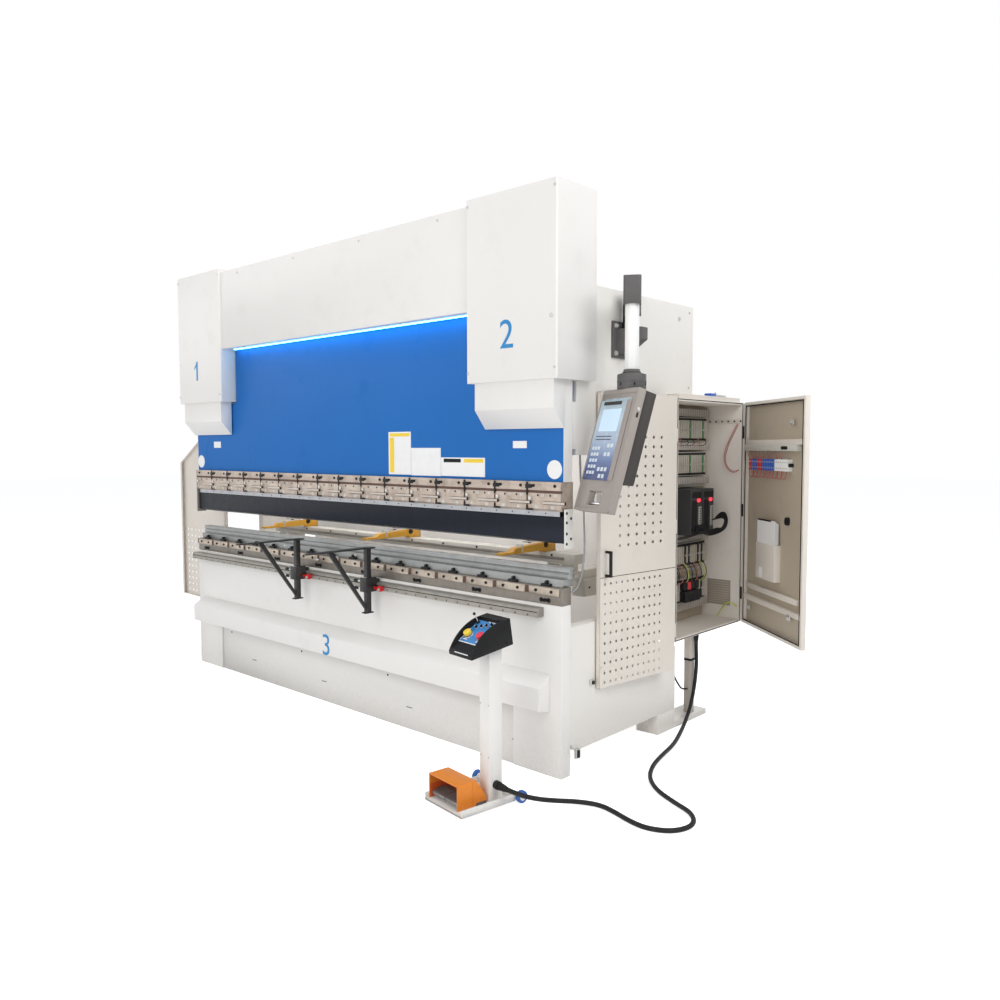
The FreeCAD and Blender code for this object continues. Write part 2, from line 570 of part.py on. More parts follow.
guard_long = S.guard_hinge_y - S.guard_front
guard_turn = math.degrees(math.asin((SIZES["guard_hinge_out"] - SIZES["guard_closed_out"])
                                    / (SIZES["guard_hinge_y"] - SIZES["guard_front"])))
guard_high = S.guard_top - S.guard_low
outer = S.guard_thick / 2
hinge_edge = -(S.knuckle_radius + S.hinge_gap)
guard_outlines = {
    "right": [(-guard_long, 0), (hinge_edge, 0), (hinge_edge, guard_high), (-guard_long, guard_high)],
    "left": [(-S.wing_long, 0), (hinge_edge, 0), (hinge_edge, guard_high),
             (-S.wing_long, guard_high - S.wing_drop)],
}
guard_rooms = {
    "right": [(-guard_long + S.guard_rim, S.guard_rim), (hinge_edge - S.guard_rim, S.guard_rim),
              (hinge_edge - S.guard_rim, guard_high - S.guard_rim),
              (-guard_long + S.guard_rim, guard_high - S.guard_rim)],
    "left": [(-S.wing_long + S.guard_rim, S.guard_rim), (hinge_edge - S.guard_rim, S.guard_rim),
             (hinge_edge - S.guard_rim, guard_high - S.guard_rim * 2),
             (-S.wing_long + S.guard_rim, guard_high - S.wing_drop - S.guard_rim)],
}
guard_reach = {"right": guard_long, "left": S.wing_long}
hinge_places = {"right": (S.guard_hinge_x, S.guard_hinge_y), "left": (-S.wing_hinge_x, S.wing_hinge_y)}
turns = {"right": sized(-guard_turn), "left": -S.wing_turn}
knuckle_levels = {
    "right": [S.guard_low + 160, (S.guard_low + S.guard_top) / 2, S.guard_top - 160 - S.knuckle_long],
    "left": [S.guard_low + 40, S.throat_low - 100, S.throat_high + 90],
}
hinge_parts = []
for side, outline in guard_outlines.items():
    away = 1 if side == "right" else -1
    room_ends = (-outer - 1, outer - S.guard_sheet) if away > 0 else (-outer + S.guard_sheet, outer + 1)
    panel = node(f"guard_door_{side}", minus(f"GuardDoor{side}", prism(
        f"GuardPanel{side}", "YZ_Plane", outline, -outer, outer), [
            prism(f"GuardRoom{side}", "YZ_Plane", guard_rooms[side], *room_ends)]))
    handle = grip(side, outer * away, -guard_reach[side] + S.grip_from_edge, away)
    at_x, at_y = hinge_places[side]
    for piece in (panel, handle):
        placed(piece, at_x, at_y, S.guard_low, turns[side])
    for number, level in enumerate(knuckle_levels[side]):
        knuckle = rod(f"GuardKnuckle{side}{number}", (at_x, at_y, level), "z",
                      S.knuckle_radius, S.knuckle_long)
        if side == "right":
            leaf = block(f"GuardLeaf{side}{number}", (at_x - S.knuckle_radius * 2, at_y, level),
                         (at_x, S.cabinet_front, level + S.knuckle_long))
        else:
            leaf = block(f"GuardLeaf{side}{number}", (at_x, at_y, level),
                         (-S.machine_half, at_y + S.knuckle_radius, level + S.knuckle_long))
        hinge_parts.append(union(f"GuardHinge{side}{number}", [knuckle, leaf]))
node("guard_hinges", several("GuardHinges", hinge_parts))

# Electrical cabinet: an open shell bolted behind the right-hand frame
shell = block("CabinetBox", (S.cabinet_back, S.cabinet_front, S.cabinet_low),
              (S.cabinet_face, S.cabinet_rear, S.cabinet_top))
room = block("CabinetRoom", (S.cabinet_back + S.cabinet_wall, S.cabinet_front + S.cabinet_wall,
                             S.cabinet_low + S.cabinet_wall),
             (S.cabinet_face + 1, S.cabinet_rear - S.cabinet_wall, S.cabinet_top - S.cabinet_wall))
caps = [block("CabinetCapSide", (S.machine_half + S.slide_gap, S.cabinet_front + S.cap_inset * 3,
                                 S.cabinet_top - 1),
              (S.cabinet_face - S.cap_inset, S.cabinet_rear - S.cap_inset, S.cabinet_top + S.cap_high)),
        block("CabinetCapBack", (S.cabinet_back + S.cap_inset, S.housing_back + S.slide_gap,
                                 S.cabinet_top - 1),
              (S.machine_half + 1, S.cabinet_rear - S.cap_inset, S.cabinet_top + S.cap_high))]
brackets = [block(f"CabinetBracket{n}", (frame_inner, S.neck_back, level),
                  (S.machine_half, S.cabinet_front + 1, level + 120))
            for n, level in enumerate((S.cabinet_low + 60, S.cabinet_top - 180))]
plate_face = S.cabinet_back + S.cabinet_wall + S.mount_plate
wall_y = S.cabinet_front + S.cabinet_wall
mounting = block("MountingPlate", (S.cabinet_back + S.cabinet_wall - 1, wall_y + S.mount_inset,
                                   S.cabinet_low + S.cabinet_wall + S.mount_inset),
                 (plate_face, S.cabinet_rear - S.cabinet_wall - S.mount_inset,
                  S.cabinet_top - S.cabinet_wall - S.mount_inset))
hollow_shell = minus("HollowShell", shell, [room])
node("cabinet_shell", union("CabinetShell", [hollow_shell, mounting] + caps + brackets))
duct_levels = [S.module_upper + S.module_high + S.duct_space] + [
    level - S.duct_high - S.duct_space
    for level in (S.module_upper, S.module_lower, S.drive_low, S.contactor_low)]
foot_duct = block("FootDuct", (S.foot_duct_x, S.foot_duct_y, S.foot_plate_high),
                  (S.foot_duct_x + S.foot_duct, S.foot_duct_y + S.foot_duct, S.cabinet_low))
ducts = [block(f"CableDuct{n}", (plate_face, wall_y + S.mount_inset + 4, level),
               (plate_face + S.duct_deep, S.cabinet_rear - S.cabinet_wall - S.mount_inset - 4,
                level + S.duct_high)) for n, level in enumerate(duct_levels)]
node("cable_ducts", several("CableDucts", ducts + [foot_duct]))
modules = []
for number, level in enumerate((S.module_upper, S.module_lower, S.contactor_low, S.contactor_upper)):
    modules.append(block(f"ControlModule{number}", (plate_face, wall_y + S.mount_inset + 12, level),
                         (plate_face + S.module_deep, wall_y + S.mount_inset + 12 + S.module_width,
                          level + S.module_high)))
node("control_modules", several("ControlModules", modules))
drive_at = wall_y + S.drive_from_wall
drives = [block(f"Drive{n}", (plate_face, drive_at + S.drive_pitch * n, S.drive_low),
                (plate_face + S.drive_deep, drive_at + S.drive_pitch * n + S.drive_width,
                 S.drive_low + S.drive_high)) for n in range(2)]
node("servo_drives", several("ServoDrives", drives))

# Cabinet door: a shallow pan with a rim, drawn shut along -Y from its hinge and then opened
door_axis_x = S.cabinet_face + S.door_gap + S.door_thick / 2
door_axis_y = S.cabinet_rear + S.door_axis_out
door_long = door_axis_y - S.cabinet_front - 10
door_high = S.cabinet_top - S.cabinet_low
door_edge = S.door_axis_out + S.hinge_gap
pan = block("DoorPan", (-S.door_thick / 2, -door_long, 0), (S.door_thick / 2, -door_edge, door_high))
hollow = block("DoorHollow", (-S.door_thick / 2 - 1, -door_long + S.door_rim, S.door_rim),
               (S.door_thick / 2 - S.door_sheet, -door_edge - S.door_rim, door_high - S.door_rim))
door_pan = minus("DoorPanHollow", pan, [hollow])
stiffeners = [block(f"DoorBar{n}", (-S.door_thick / 2, -door_long + S.door_rim - 1, level - S.cabinet_low),
                    (S.door_thick / 2 - 1, -door_edge - S.door_rim + 1,
                     level - S.cabinet_low + S.door_bar_high))
              for n, level in enumerate((S.door_bar_low, S.door_stiff_low))]
door = node("cabinet_door", union("CabinetDoor", [door_pan] + stiffeners))
placed(door, door_axis_x, door_axis_y, S.cabinet_low, S.door_open)
hinge_parts = []
for number, level in enumerate((S.cabinet_low + 130, S.cabinet_low + 600, S.cabinet_top - 200)):
    knuckle = rod(f"DoorKnuckle{number}", (door_axis_x, door_axis_y, level), "z",
                  S.door_axis_out, S.knuckle_long)
    leaf = block(f"DoorLeaf{number}", (S.cabinet_face - 30, S.cabinet_rear, level),
                 (door_axis_x, S.cabinet_rear + 4, level + S.knuckle_long))
    hinge_parts.append(union(f"DoorHinge{number}", [knuckle, leaf]))
node("cabinet_hinges", several("CabinetHinges", hinge_parts))

# Pendant: wall bracket, post, swinging arm with a square elbow, drop tube and operator panel
bracket_plate = block("BracketPlate", (S.machine_half, S.bracket_front, S.bracket_low),
                      (S.machine_half + S.bracket_sheet, S.bracket_back, S.bracket_top))
lug = prism("BracketLug", "XZ_Plane", [
    (S.machine_half + S.bracket_sheet - 1, S.lug_low), (S.pivot_x - S.pivot_radius, S.lug_low),
    (S.lug_out, S.lug_low + 60), (S.lug_out, S.lug_top), (S.machine_half + S.bracket_sheet - 1, S.lug_top),
], S.pivot_y - S.lug_half, S.pivot_y + S.lug_half)
node("pendant_bracket", union("PendantBracket", [bracket_plate, lug]))
arm_side = SIZES["drop_out"] - SIZES["pivot_out"]
arm_ahead = SIZES["drop_y"] - SIZES["pivot_y"]
arm_turn = math.degrees(math.atan2(arm_ahead, arm_side))
arm_reach = math.hypot(arm_ahead, arm_side)
tubes = [rod("PendantPost", (0, 0, S.lug_top + S.slide_gap - S.elbow_low), "z", S.pivot_radius,
             S.elbow_low - S.lug_top - S.slide_gap)]
elbows = []
for name, reach in (("PostElbow", 0), ("DropElbow", arm_reach)):
    elbow = prism(name, "XY_Plane", [
        (sized(reach) - S.elbow_half, -S.elbow_half), (sized(reach) + S.elbow_half, -S.elbow_half),
        (sized(reach) + S.elbow_half, S.elbow_half), (sized(reach) - S.elbow_half, S.elbow_half),
    ], 0, S.elbow_top - S.elbow_low)
    corners = [(sized(reach) + S.elbow_half * a, S.elbow_half * b) for a in (-1, 1) for b in (-1, 1)]
    elbows.append(rounded(elbow, "z", corners, 14))
elbow_node = node("pendant_elbows", several("PendantElbows", elbows))
placed(elbow_node, S.pivot_x, S.pivot_y, S.elbow_low, arm_turn)
tubes.append(rod("PendantBoom", (S.elbow_half, 0, S.arm_axis - S.elbow_low), "x", S.tube_radius,
                 sized(arm_reach) - 2 * S.elbow_half))
tubes.append(rod("PendantDrop", (sized(arm_reach), 0, S.collar_top - S.elbow_low), "z", S.tube_radius,
                 S.elbow_low - S.collar_top))
placed(node("pendant_tubes", several("PendantTubes", tubes)), S.pivot_x, S.pivot_y, S.elbow_low, arm_turn)
neck = rod("PendantNeck", (S.drop_x, S.drop_y, S.neck_low_at), "z", S.neck_radius,
           S.collar_top - S.slide_gap - S.neck_low_at)
collar = rod("PendantCollarRing", (S.drop_x, S.drop_y, S.collar_low), "z", S.collar_radius,
             S.neck_low_at - S.collar_low)
node("pendant_collar", union("PendantCollar", [neck, collar]))

# Operator panel: tilted frame with a rear housing, a hand opening with a bar, and a glass front
panel_body = block("PanelFrame", (-S.panel_width / 2, 0, -S.panel_long),
                   (S.panel_width / 2, S.panel_frame, 0))
panel_box = several("PanelBoxPlace", [
    block("PanelBox", (-S.panel_width / 2 + S.panel_box_inset, S.panel_frame, -S.panel_box_long),
          (S.panel_width / 2 - S.panel_box_inset, S.panel_frame + S.panel_box_deep, 0))])
panel_seat = several("PanelSeatPlace", [
    block("PanelSeat", (-S.collar_radius / 2, -(S.panel_front - S.panel_frame), -S.panel_box_deep / 2),
          (S.collar_radius / 2, S.collar_radius / 2, 0))])
hand_hole = block("PanelHandHole",
                  (-S.hand_hole_wide / 2, -1, -S.panel_long + S.hand_hole_low),
                  (S.hand_hole_wide / 2, S.panel_frame + 1,
                   -S.panel_long + S.hand_hole_low + S.hand_hole_high))
housing = node("panel_housing", minus("PanelHousing", panel_body, [hand_hole]))
glass = node("panel_glass", several("PanelGlassNode", [
    block("PanelGlass", (-S.glass_wide / 2, -S.glass_thick, -S.glass_down - S.glass_long),
          (S.glass_wide / 2, 0, -S.glass_down))]))
hand_bar = node("panel_hand_bar", several("PanelHandBarNode", [
    rod("PanelHandBar", (-S.hand_hole_wide / 2, S.panel_frame / 2,
                         -S.panel_long + S.hand_hole_low + S.bar_radius + 4), "x",
        S.bar_radius, S.hand_hole_wide)]))
turn = math.radians(SIZES["panel_turn"])
for piece in (housing, panel_box, glass, hand_bar):
    placed(piece, S.drop_x.value + SIZES["panel_front"] * math.sin(turn),
           S.drop_y.value - SIZES["panel_front"] * math.cos(turn),
           SIZES["collar_low"] - SIZES["slide_gap"], S.panel_turn, -SIZES["panel_tilt"])
placed(panel_seat, S.drop_x, S.drop_y, S.collar_low, S.panel_turn)
node("panel_rear_box", union("PanelRearBox", [panel_box, panel_seat]))


# Pedestal: drawn about its pillar's foot, then turned and set down in front of the right-hand leg
def on_pedestal(piece):
    return placed(piece, S.pedestal_x, S.pedestal_y, 0, S.pedestal_turn)


tray = [
    block("TraySheet", (-S.tray_left, -S.tray_front, S.pad_high),
          (S.tray_right, S.tray_back, S.pad_high + S.tray_sheet)),
    block("TrayRimRight", (S.tray_right - S.tray_sheet, -S.tray_front, S.pad_high),
          (S.tray_right, S.tray_back, S.pad_high + S.tray_rim)),
    block("TrayRimLeft", (-S.tray_left, -S.tray_front, S.pad_high),
          (-S.tray_left + S.tray_sheet, S.tray_back, S.pad_high + S.tray_rim)),
    block("TrayRimBack", (-S.tray_left, S.tray_back - S.tray_sheet, S.pad_high),
          (S.tray_right, S.tray_back, S.pad_high + S.tray_rim)),
]
for number, (x, y) in enumerate(((-S.tray_left + S.pad_inset, -S.tray_front + S.pad_inset),
                                 (S.tray_right - S.pad_inset, -S.tray_front + S.pad_inset),
                                 (-S.tray_left + S.pad_inset, S.tray_back - S.pad_inset),
                                 (S.tray_right - S.pad_inset, S.tray_back - S.pad_inset))):
    tray.append(rod(f"TrayPad{number}", (x, y, 0), "z", S.pad_radius, S.pad_high + 1))
tray_floor = S.pad_high + S.tray_sheet
top_slant = S.pillar_half * math.tan(math.radians(SIZES["console_tilt"]))
tray.append(prism("PedestalPillar", "YZ_Plane", [
    (-S.pillar_half, tray_floor - 1), (S.pillar_half, tray_floor - 1),
    (S.pillar_half, S.pillar_top + top_slant), (-S.pillar_half, S.pillar_top - top_slant),
], -S.pillar_half, S.pillar_half))
tray.append(block("PedalRest", (-S.hood_left + S.hood_sheet, -S.pedal_back - 16, tray_floor - 1),
                  (S.hood_right - S.hood_sheet, -S.pedal_back + 16, tray_floor + S.pedal_base_high)))
axle_out = S.wheel_wide + 12
tray.append(rod("WheelAxle", (-S.tray_left - axle_out, S.axle_back, S.axle_height), "x", S.axle_radius,
                S.tray_left + S.tray_right + 2 * axle_out))
tray.append(block("AxleBlock", (-S.pillar_half, S.tray_back - 1, S.axle_height - S.axle_radius),
                  (S.pillar_half, S.axle_back, S.axle_height + S.axle_radius)))
on_pedestal(node("pedestal_stand", union("PedestalStand", tray)))
for side, start in (("right", S.tray_right + 10), ("left", -S.tray_left - 10 - S.wheel_wide)):
    tyre = rod(f"Tyre{side}", (start, S.axle_back, S.axle_height), "x", S.wheel_radius, S.wheel_wide)
    hub = rod(f"HubBore{side}", (start - 1, S.axle_back, S.axle_height), "x",
              S.axle_radius + 0.05, S.wheel_wide + 2)
    on_pedestal(node(f"wheel_{side}", minus(f"Wheel{side}", tyre, [hub])))

deck_front = -S.console_front + S.deck_inset
deck_back = S.deck_end
deck_low = S.console_nose
deck_high = S.console_high - S.deck_sunk
arch_level = S.console_high - S.console_arch
console_box = prism("ConsoleBox", "YZ_Plane", [
    (-S.console_front, 0), (S.console_back, 0), (S.console_back, S.console_high),
    (-S.console_front, S.console_high),
], -S.console_half, S.console_half)
arch_waste = minus("ArchWaste", block(
    "ArchCorner", (-S.console_half - 1, -S.console_front - 1, -1),
    (S.console_half + 1, S.arch_middle, S.console_high + 1)), [
        rod("ArchRound", (-S.console_half - 2, S.arch_middle, arch_level), "x", S.console_arch,
            S.console_half * 2 + 4)])
deck_room = prism("DeckRoom", "YZ_Plane", [
    (-S.console_front - 1, deck_low - 8), (deck_front, deck_low), (deck_back, deck_high),
    (deck_back, S.console_high + 1), (-S.console_front - 1, S.console_high + 1),
], -S.console_half + S.console_cheek, S.console_half - S.console_cheek)
console = minus("ConsoleBody", console_box, [arch_waste, deck_room])
base = FreeCAD.Placement(FreeCAD.Vector(S.pedestal_x.value, S.pedestal_y.value, 0),
                         FreeCAD.Rotation(FreeCAD.Vector(0, 0, 1), S.pedestal_turn.value))
lean = FreeCAD.Placement(FreeCAD.Vector(0, 0, S.pillar_top.value),
                         FreeCAD.Rotation(FreeCAD.Vector(1, 0, 0), SIZES["console_tilt"]))
deck_slope = math.degrees(math.atan2((deck_high - deck_low).value, (deck_back - deck_front).value))
deck_turn = FreeCAD.Rotation(FreeCAD.Vector(1, 0, 0), deck_slope)
bores = []
for side, at in (("left", -S.button_out), ("right", S.button_out)):
    along = S.button_along.value
    seat = FreeCAD.Vector(at.value, deck_front.value + along * math.cos(math.radians(deck_slope)),
                          deck_low.value + along * math.sin(math.radians(deck_slope)))
    seat_place = FreeCAD.Placement(seat, deck_turn)
    bore = rod(f"ButtonBore{side}", (0, 0, -S.stem_deep - 8), "z", S.stem_radius + S.slide_gap,
               S.stem_deep + 20)
    bore_set = several(f"ButtonBoreSet{side}", [bore])
    bore_set.Placement = seat_place
    bores.append(bore_set)
    button = node(f"push_button_{side}", union(f"PushButton{side}", [
        rod(f"ButtonHead{side}", (0, 0, S.button_lift), "z", S.button_radius, S.button_high),
        rod(f"ButtonStem{side}", (0, 0, -S.stem_deep), "z", S.stem_radius, S.stem_deep + S.button_lift + 1),
    ]))
    button.Placement = base.multiply(lean).multiply(seat_place)
console_node = node("console_housing", minus("ConsoleHousing", console, bores))
console_node.Placement = base.multiply(lean)

hood_outline = [
    (-S.hood_front, 0), (-S.hood_front, S.hood_high), (-S.hood_flat, S.hood_high),
    (-S.hood_end, S.hood_end_high), (-S.hood_end, 0),
]
hood = prism("HoodBody", "YZ_Plane", hood_outline, -S.hood_left, S.hood_right)
hood_room = prism("HoodRoom", "YZ_Plane", [
    (-S.hood_front - 1, -1), (-S.hood_front - 1, S.hood_high - S.hood_sheet),
    (-S.hood_flat - 3, S.hood_high - S.hood_sheet), (-S.hood_end - S.hood_sheet, S.hood_end_high - 2),
    (-S.hood_end - S.hood_sheet, -1),
], -S.hood_left + S.hood_sheet, S.hood_right - S.hood_sheet)
pedal_hood = node("pedal_hood", minus("PedalHood", hood, [hood_room]))
placed(pedal_hood, S.pedestal_x, S.pedestal_y, tray_floor, S.pedestal_turn)
pedal_middle = (S.hood_right - S.hood_left) / 2
pin_level = S.pedal_base_high + S.slide_gap + S.pedal_pin
pedal_spans = {
    "left": (-S.hood_left + S.hood_sheet + S.pedal_gap, pedal_middle - S.pedal_gap / 2),
    "right": (pedal_middle + S.pedal_gap / 2, S.hood_right - S.hood_sheet - S.pedal_gap),
}
for side, (start, end) in pedal_spans.items():
    plate = prism(f"PedalPlate{side}", "YZ_Plane", [
        (-S.pedal_front, S.pedal_low), (-S.pedal_front, S.pedal_low + S.pedal_thick),
        (-S.pedal_front + 46, S.pedal_low + S.pedal_thick + S.pedal_rise),
        (-S.pedal_back, pin_level + S.pedal_pin), (-S.pedal_back, pin_level),
        (-S.pedal_front + 46, S.pedal_low + S.pedal_rise),
    ], start, end)
    pin = rod(f"PedalPin{side}", (start, -S.pedal_back, pin_level), "x", S.pedal_pin, end - start)
    piece = node(f"pedal_{side}", union(f"PedalNode{side}", [plate, pin]))
    placed(piece, S.pedestal_x, S.pedestal_y, tray_floor, S.pedestal_turn)

# Rear feet: floor plates under the back of the frames with a levelling bolt each
feet = []
for side, sign in (("right", 1), ("left", -1)):
    inner = S.foot_plate_inner if sign > 0 else -S.machine_half
    plate = block(f"FootPlate{side}", (inner, S.neck_back, 0),
                  (inner + S.machine_half - S.foot_plate_inner, S.foot_plate_back, S.foot_plate_high))
    start = frame_inner if sign > 0 else -S.machine_half
    riser = block(f"FootRiser{side}", (start, S.neck_back, S.foot_plate_high - 1),
                  (start + S.frame_plate, S.foot_back, S.frame_low))
    bolt = rod(f"FootBolt{side}", (S.foot_bolt_x * sign, S.foot_bolt_y, S.foot_plate_high - 1), "z",
               S.foot_bolt_radius, S.foot_bolt_top - S.foot_plate_high)
    feet.append(union(f"RearFoot{side}", [plate, riser, bolt]))
node("rear_feet", several("RearFeet", feet))


# Leads: straight runs joined by tangent arcs, each arc as large as its two runs allow
def lead(name, route, radius):
    points = [FreeCAD.Vector(*point) for point in route]
    edges = []
    start = points[0]
    for before, corner, after in zip(points, points[1:], points[2:]):
        back = before - corner
        ahead = after - corner
        turn = math.pi - back.getAngle(ahead)
        trim = 0.45 * min(back.Length, ahead.Length)
        bend = trim / math.tan(turn / 2)
        print(f"{name}: turn {math.degrees(turn):.0f}, radius {bend / (2 * radius):.1f} diameters")
        enter = corner + back.normalize() * trim
        leave = corner + ahead.normalize() * trim
        middle_way = (enter + leave) * 0.5 - corner
        reach = math.hypot(bend, trim) - bend
        middle = corner + middle_way.normalize() * reach
        edges.append(Part.LineSegment(start, enter).toShape())
        edges.append(Part.Arc(enter, middle, leave).toShape())
        start = leave
    edges.append(Part.LineSegment(start, points[-1]).toShape())
    path = Part.Wire(edges)
    section = Part.Wire([Part.Circle(points[0], points[1] - points[0], radius).toShape()])
    solid = path.makePipeShell([section], True, False)
    full = math.pi * radius ** 2 * path.Length
    print(f"{name}: length {path.Length:.0f}, volume {solid.Volume / full:.4f} of section times length")
    thing = doc.addObject("Part::Feature", name)
    thing.Shape = solid
    return node(name, thing)


heading = math.radians(SIZES["pedestal_turn"])
gland_end = SIZES["pillar_half"] + SIZES["gland_long"]
first_run = gland_end + 70
pedestal_lead_route = [
    (SIZES["pedestal_x"] + gland_end * math.cos(heading),
     SIZES["pedestal_y"] + gland_end * math.sin(heading), SIZES["lead_exit"]),
    (SIZES["pedestal_x"] + first_run * math.cos(heading),
     SIZES["pedestal_y"] + first_run * math.sin(heading), SIZES["lead_exit"]),
    (1704, -385, 70), (1748, -335, 54), (1778, -255, 32), (1820, -170, 14), (1900, -130, 10),
    (1990, -150, 10), (2075, -178, 10), (2165, -188, 10), (2255, -140, 10), (2285, -40, 10),
    (2225, 52, 10),
    (2110, 98, 10), (1985, 160, 10), (1885, 260, 10), (1818, 400, 10), (1780, 550, 10),
    (1748, 700, 10), (1690, 860, 12), (1640, 1000, 30), (1612, 1105, 90), (1600, 1165, 190),
    (1603, 1178, 300), (1600, 1175, 400), (1600, 1175, 472.9),
]
lead("pedestal_lead", pedestal_lead_route, SIZES["floor_lead"] / 2)
sensor_lead_route = [
    (1570, 985, 472.7), (1570, 983, 428), (1570, 968, 372), (1570, 974, 318), (1570, 998, 262),
    (1570, 1038, 214), (1564, 1093, 168), (1562, 1149.4, 162),
]
lead("sensor_lead", sensor_lead_route, SIZES["thin_lead"] / 2)
encoder_lead_route = [
    (1590, 130, 1453.7), (1590, 132, 1400), (1592, 134, 1340), (1592, 142, 1280), (1592, 158, 1220),
    (1592, 160, 1160), (1592, 164, 1100), (1592, 165, 1040), (1592, 161, 980), (1592, 150, 925),
    (1592, 132, 880), (1589, 101, 840), (1584, 55.5, 833),
]
lead("encoder_lead", encoder_lead_route, SIZES["thin_lead"] / 2)
pillar_gland = several("PillarGlandPlace", [
    rod("PillarGland", (S.pillar_half, 0, S.lead_exit), "x", S.gland_radius, S.gland_long)])
on_pedestal(pillar_gland)
glands = [
    pillar_gland,
    rod("CabinetGland", (S.machine_half, S.lead_entry_y, S.cabinet_low - S.gland_long), "z",
        S.gland_radius, S.gland_long),
    rod("SensorGland", (S.machine_half - S.sensor_entry_inset, S.sensor_entry_y,
                        S.cabinet_low - S.gland_long), "z", S.gland_radius / 2, S.gland_long),
]
node("lead_glands", several("LeadGlands", glands))

doc.recompute()

# Every object has to be sound before anything is written
faults = []
for thing in doc.Objects:
    if "Invalid" in thing.State or "Error" in thing.State:
        faults.append(f"{thing.Label}: {thing.State}")
for name, thing in nodes.items():
    if thing.Shape.isNull() or not thing.Shape.isValid():
        faults.append(f"{name}: shape not valid")
if faults:
    raise RuntimeError("; ".join(faults))

os.makedirs("parts", exist_ok=True)
for name, thing in nodes.items():
    thing.Shape.exportStep(f"parts/{name}.step")
print(f"{len(nodes)} nodes written")
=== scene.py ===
"""Dresses the press brake: camera, leads, stage, finishes and the fine pieces on each sub-part.

Metres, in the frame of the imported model: +X to the operator's right, +Y into the machine, +Z up.
"""
import json
import math

import bmesh
import bpy
from bpy.props import FloatProperty, FloatVectorProperty, IntProperty, PointerProperty
from mathutils import Euler, Matrix, Vector


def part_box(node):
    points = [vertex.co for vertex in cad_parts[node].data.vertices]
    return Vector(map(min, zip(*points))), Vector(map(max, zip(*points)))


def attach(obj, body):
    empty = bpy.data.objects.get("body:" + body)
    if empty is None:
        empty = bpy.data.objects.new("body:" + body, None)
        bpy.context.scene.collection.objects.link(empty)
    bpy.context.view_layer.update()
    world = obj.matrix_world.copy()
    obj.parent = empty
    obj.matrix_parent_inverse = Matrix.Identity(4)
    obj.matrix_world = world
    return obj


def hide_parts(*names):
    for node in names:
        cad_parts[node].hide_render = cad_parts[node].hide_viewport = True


bl_info = {
    "name": "Press Brake Dressing",
    "version": (1, 0, 0),
    "blender": (4, 5, 0),
    "location": "3D View > Sidebar > Press Brake",
    "description": "Builds the finishes and fine pieces of a hydraulic press brake",
    "category": "Object",
}

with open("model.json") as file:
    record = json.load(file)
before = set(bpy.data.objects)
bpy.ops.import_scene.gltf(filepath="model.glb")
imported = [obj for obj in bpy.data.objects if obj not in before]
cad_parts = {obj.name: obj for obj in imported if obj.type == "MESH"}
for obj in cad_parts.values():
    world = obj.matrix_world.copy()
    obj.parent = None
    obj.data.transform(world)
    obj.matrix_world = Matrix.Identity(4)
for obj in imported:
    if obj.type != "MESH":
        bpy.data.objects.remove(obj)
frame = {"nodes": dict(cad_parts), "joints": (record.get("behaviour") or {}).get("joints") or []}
NODES = frame["nodes"]
JOINTS = {joint["name"]: joint for joint in frame["joints"]}
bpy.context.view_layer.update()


def high_x(node):
    """How far a node reaches to the right."""
    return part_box(node)[1].x


def turned(x=0.0, y=0.0, z=0.0):
    """A turn about the axes, in degrees, as a matrix."""
    return Euler([math.radians(angle) for angle in (x, y, z)]).to_matrix().to_4x4()


# Shapes: each returns a small bmesh, which add() places into the piece being built
def cuboid(low, high, bevel=0.0, segments=2):
    """A box between two corners, in any order."""
    part = bmesh.new()
    low, high = (Vector(corner) for corner in zip(*map(sorted, zip(low, high))))
    place = Matrix.Translation((low + high) / 2) @ Matrix.Diagonal((*(high - low), 1.0))
    bmesh.ops.create_cube(part, size=1.0, matrix=place)
    if bevel:
        bmesh.ops.bevel(part, geom=part.edges[:], offset=bevel, offset_type="OFFSET", segments=segments,
                        profile=0.5, affect="EDGES", material=-1)
    return part


# Turns that lay a shape made along Z on another axis
AXES = {"x": turned(y=90), "y": turned(x=-90), "z": Matrix.Identity(4)}


def drum(base, axis, radius, length, sides=20, bevel=0.0, tip=None):
    """A closed cylinder, or a cone where tip gives its far radius, standing on base along the axis."""
    part = bmesh.new()
    place = Matrix.Translation(Vector(base)) @ AXES[axis] @ Matrix.Translation((0, 0, length / 2))
    bmesh.ops.create_cone(part, cap_ends=True, segments=sides, radius1=radius,
                          radius2=radius if tip is None else tip, depth=length, matrix=place)
    if bevel:
        rims = [edge for edge in part.edges if len(edge.link_faces) == 2
                and max(len(face.verts) for face in edge.link_faces) > 4]
        bmesh.ops.bevel(part, geom=rims, offset=bevel, offset_type="OFFSET", segments=2,
                        profile=0.5, affect="EDGES", material=-1)
    return part


def ball(centre, radius, sides=16):
    part = bmesh.new()
    bmesh.ops.create_uvsphere(part, u_segments=sides, v_segments=sides // 2, radius=radius,
                              matrix=Matrix.Translation(Vector(centre)))
    return part


def ring(base, axis, radius, thick, sides=24, rounds=8):
    """A torus lying across the axis, spun from a small circle."""
    part = bmesh.new()
    turn = Matrix.Translation((radius, 0, 0)) @ AXES["y"]
    bmesh.ops.create_circle(part, cap_ends=False, segments=rounds, radius=thick, matrix=turn)
    bmesh.ops.spin(part, geom=part.verts[:] + part.edges[:], cent=(0, 0, 0), axis=(0, 0, 1),
                   angle=math.tau, steps=sides, use_merge=True)
    bmesh.ops.remove_doubles(part, verts=part.verts[:], dist=1e-6)
    bmesh.ops.recalc_face_normals(part, faces=part.faces[:])
    bmesh.ops.transform(part, matrix=Matrix.Translation(Vector(base)) @ AXES[axis], verts=part.verts[:])
    return part


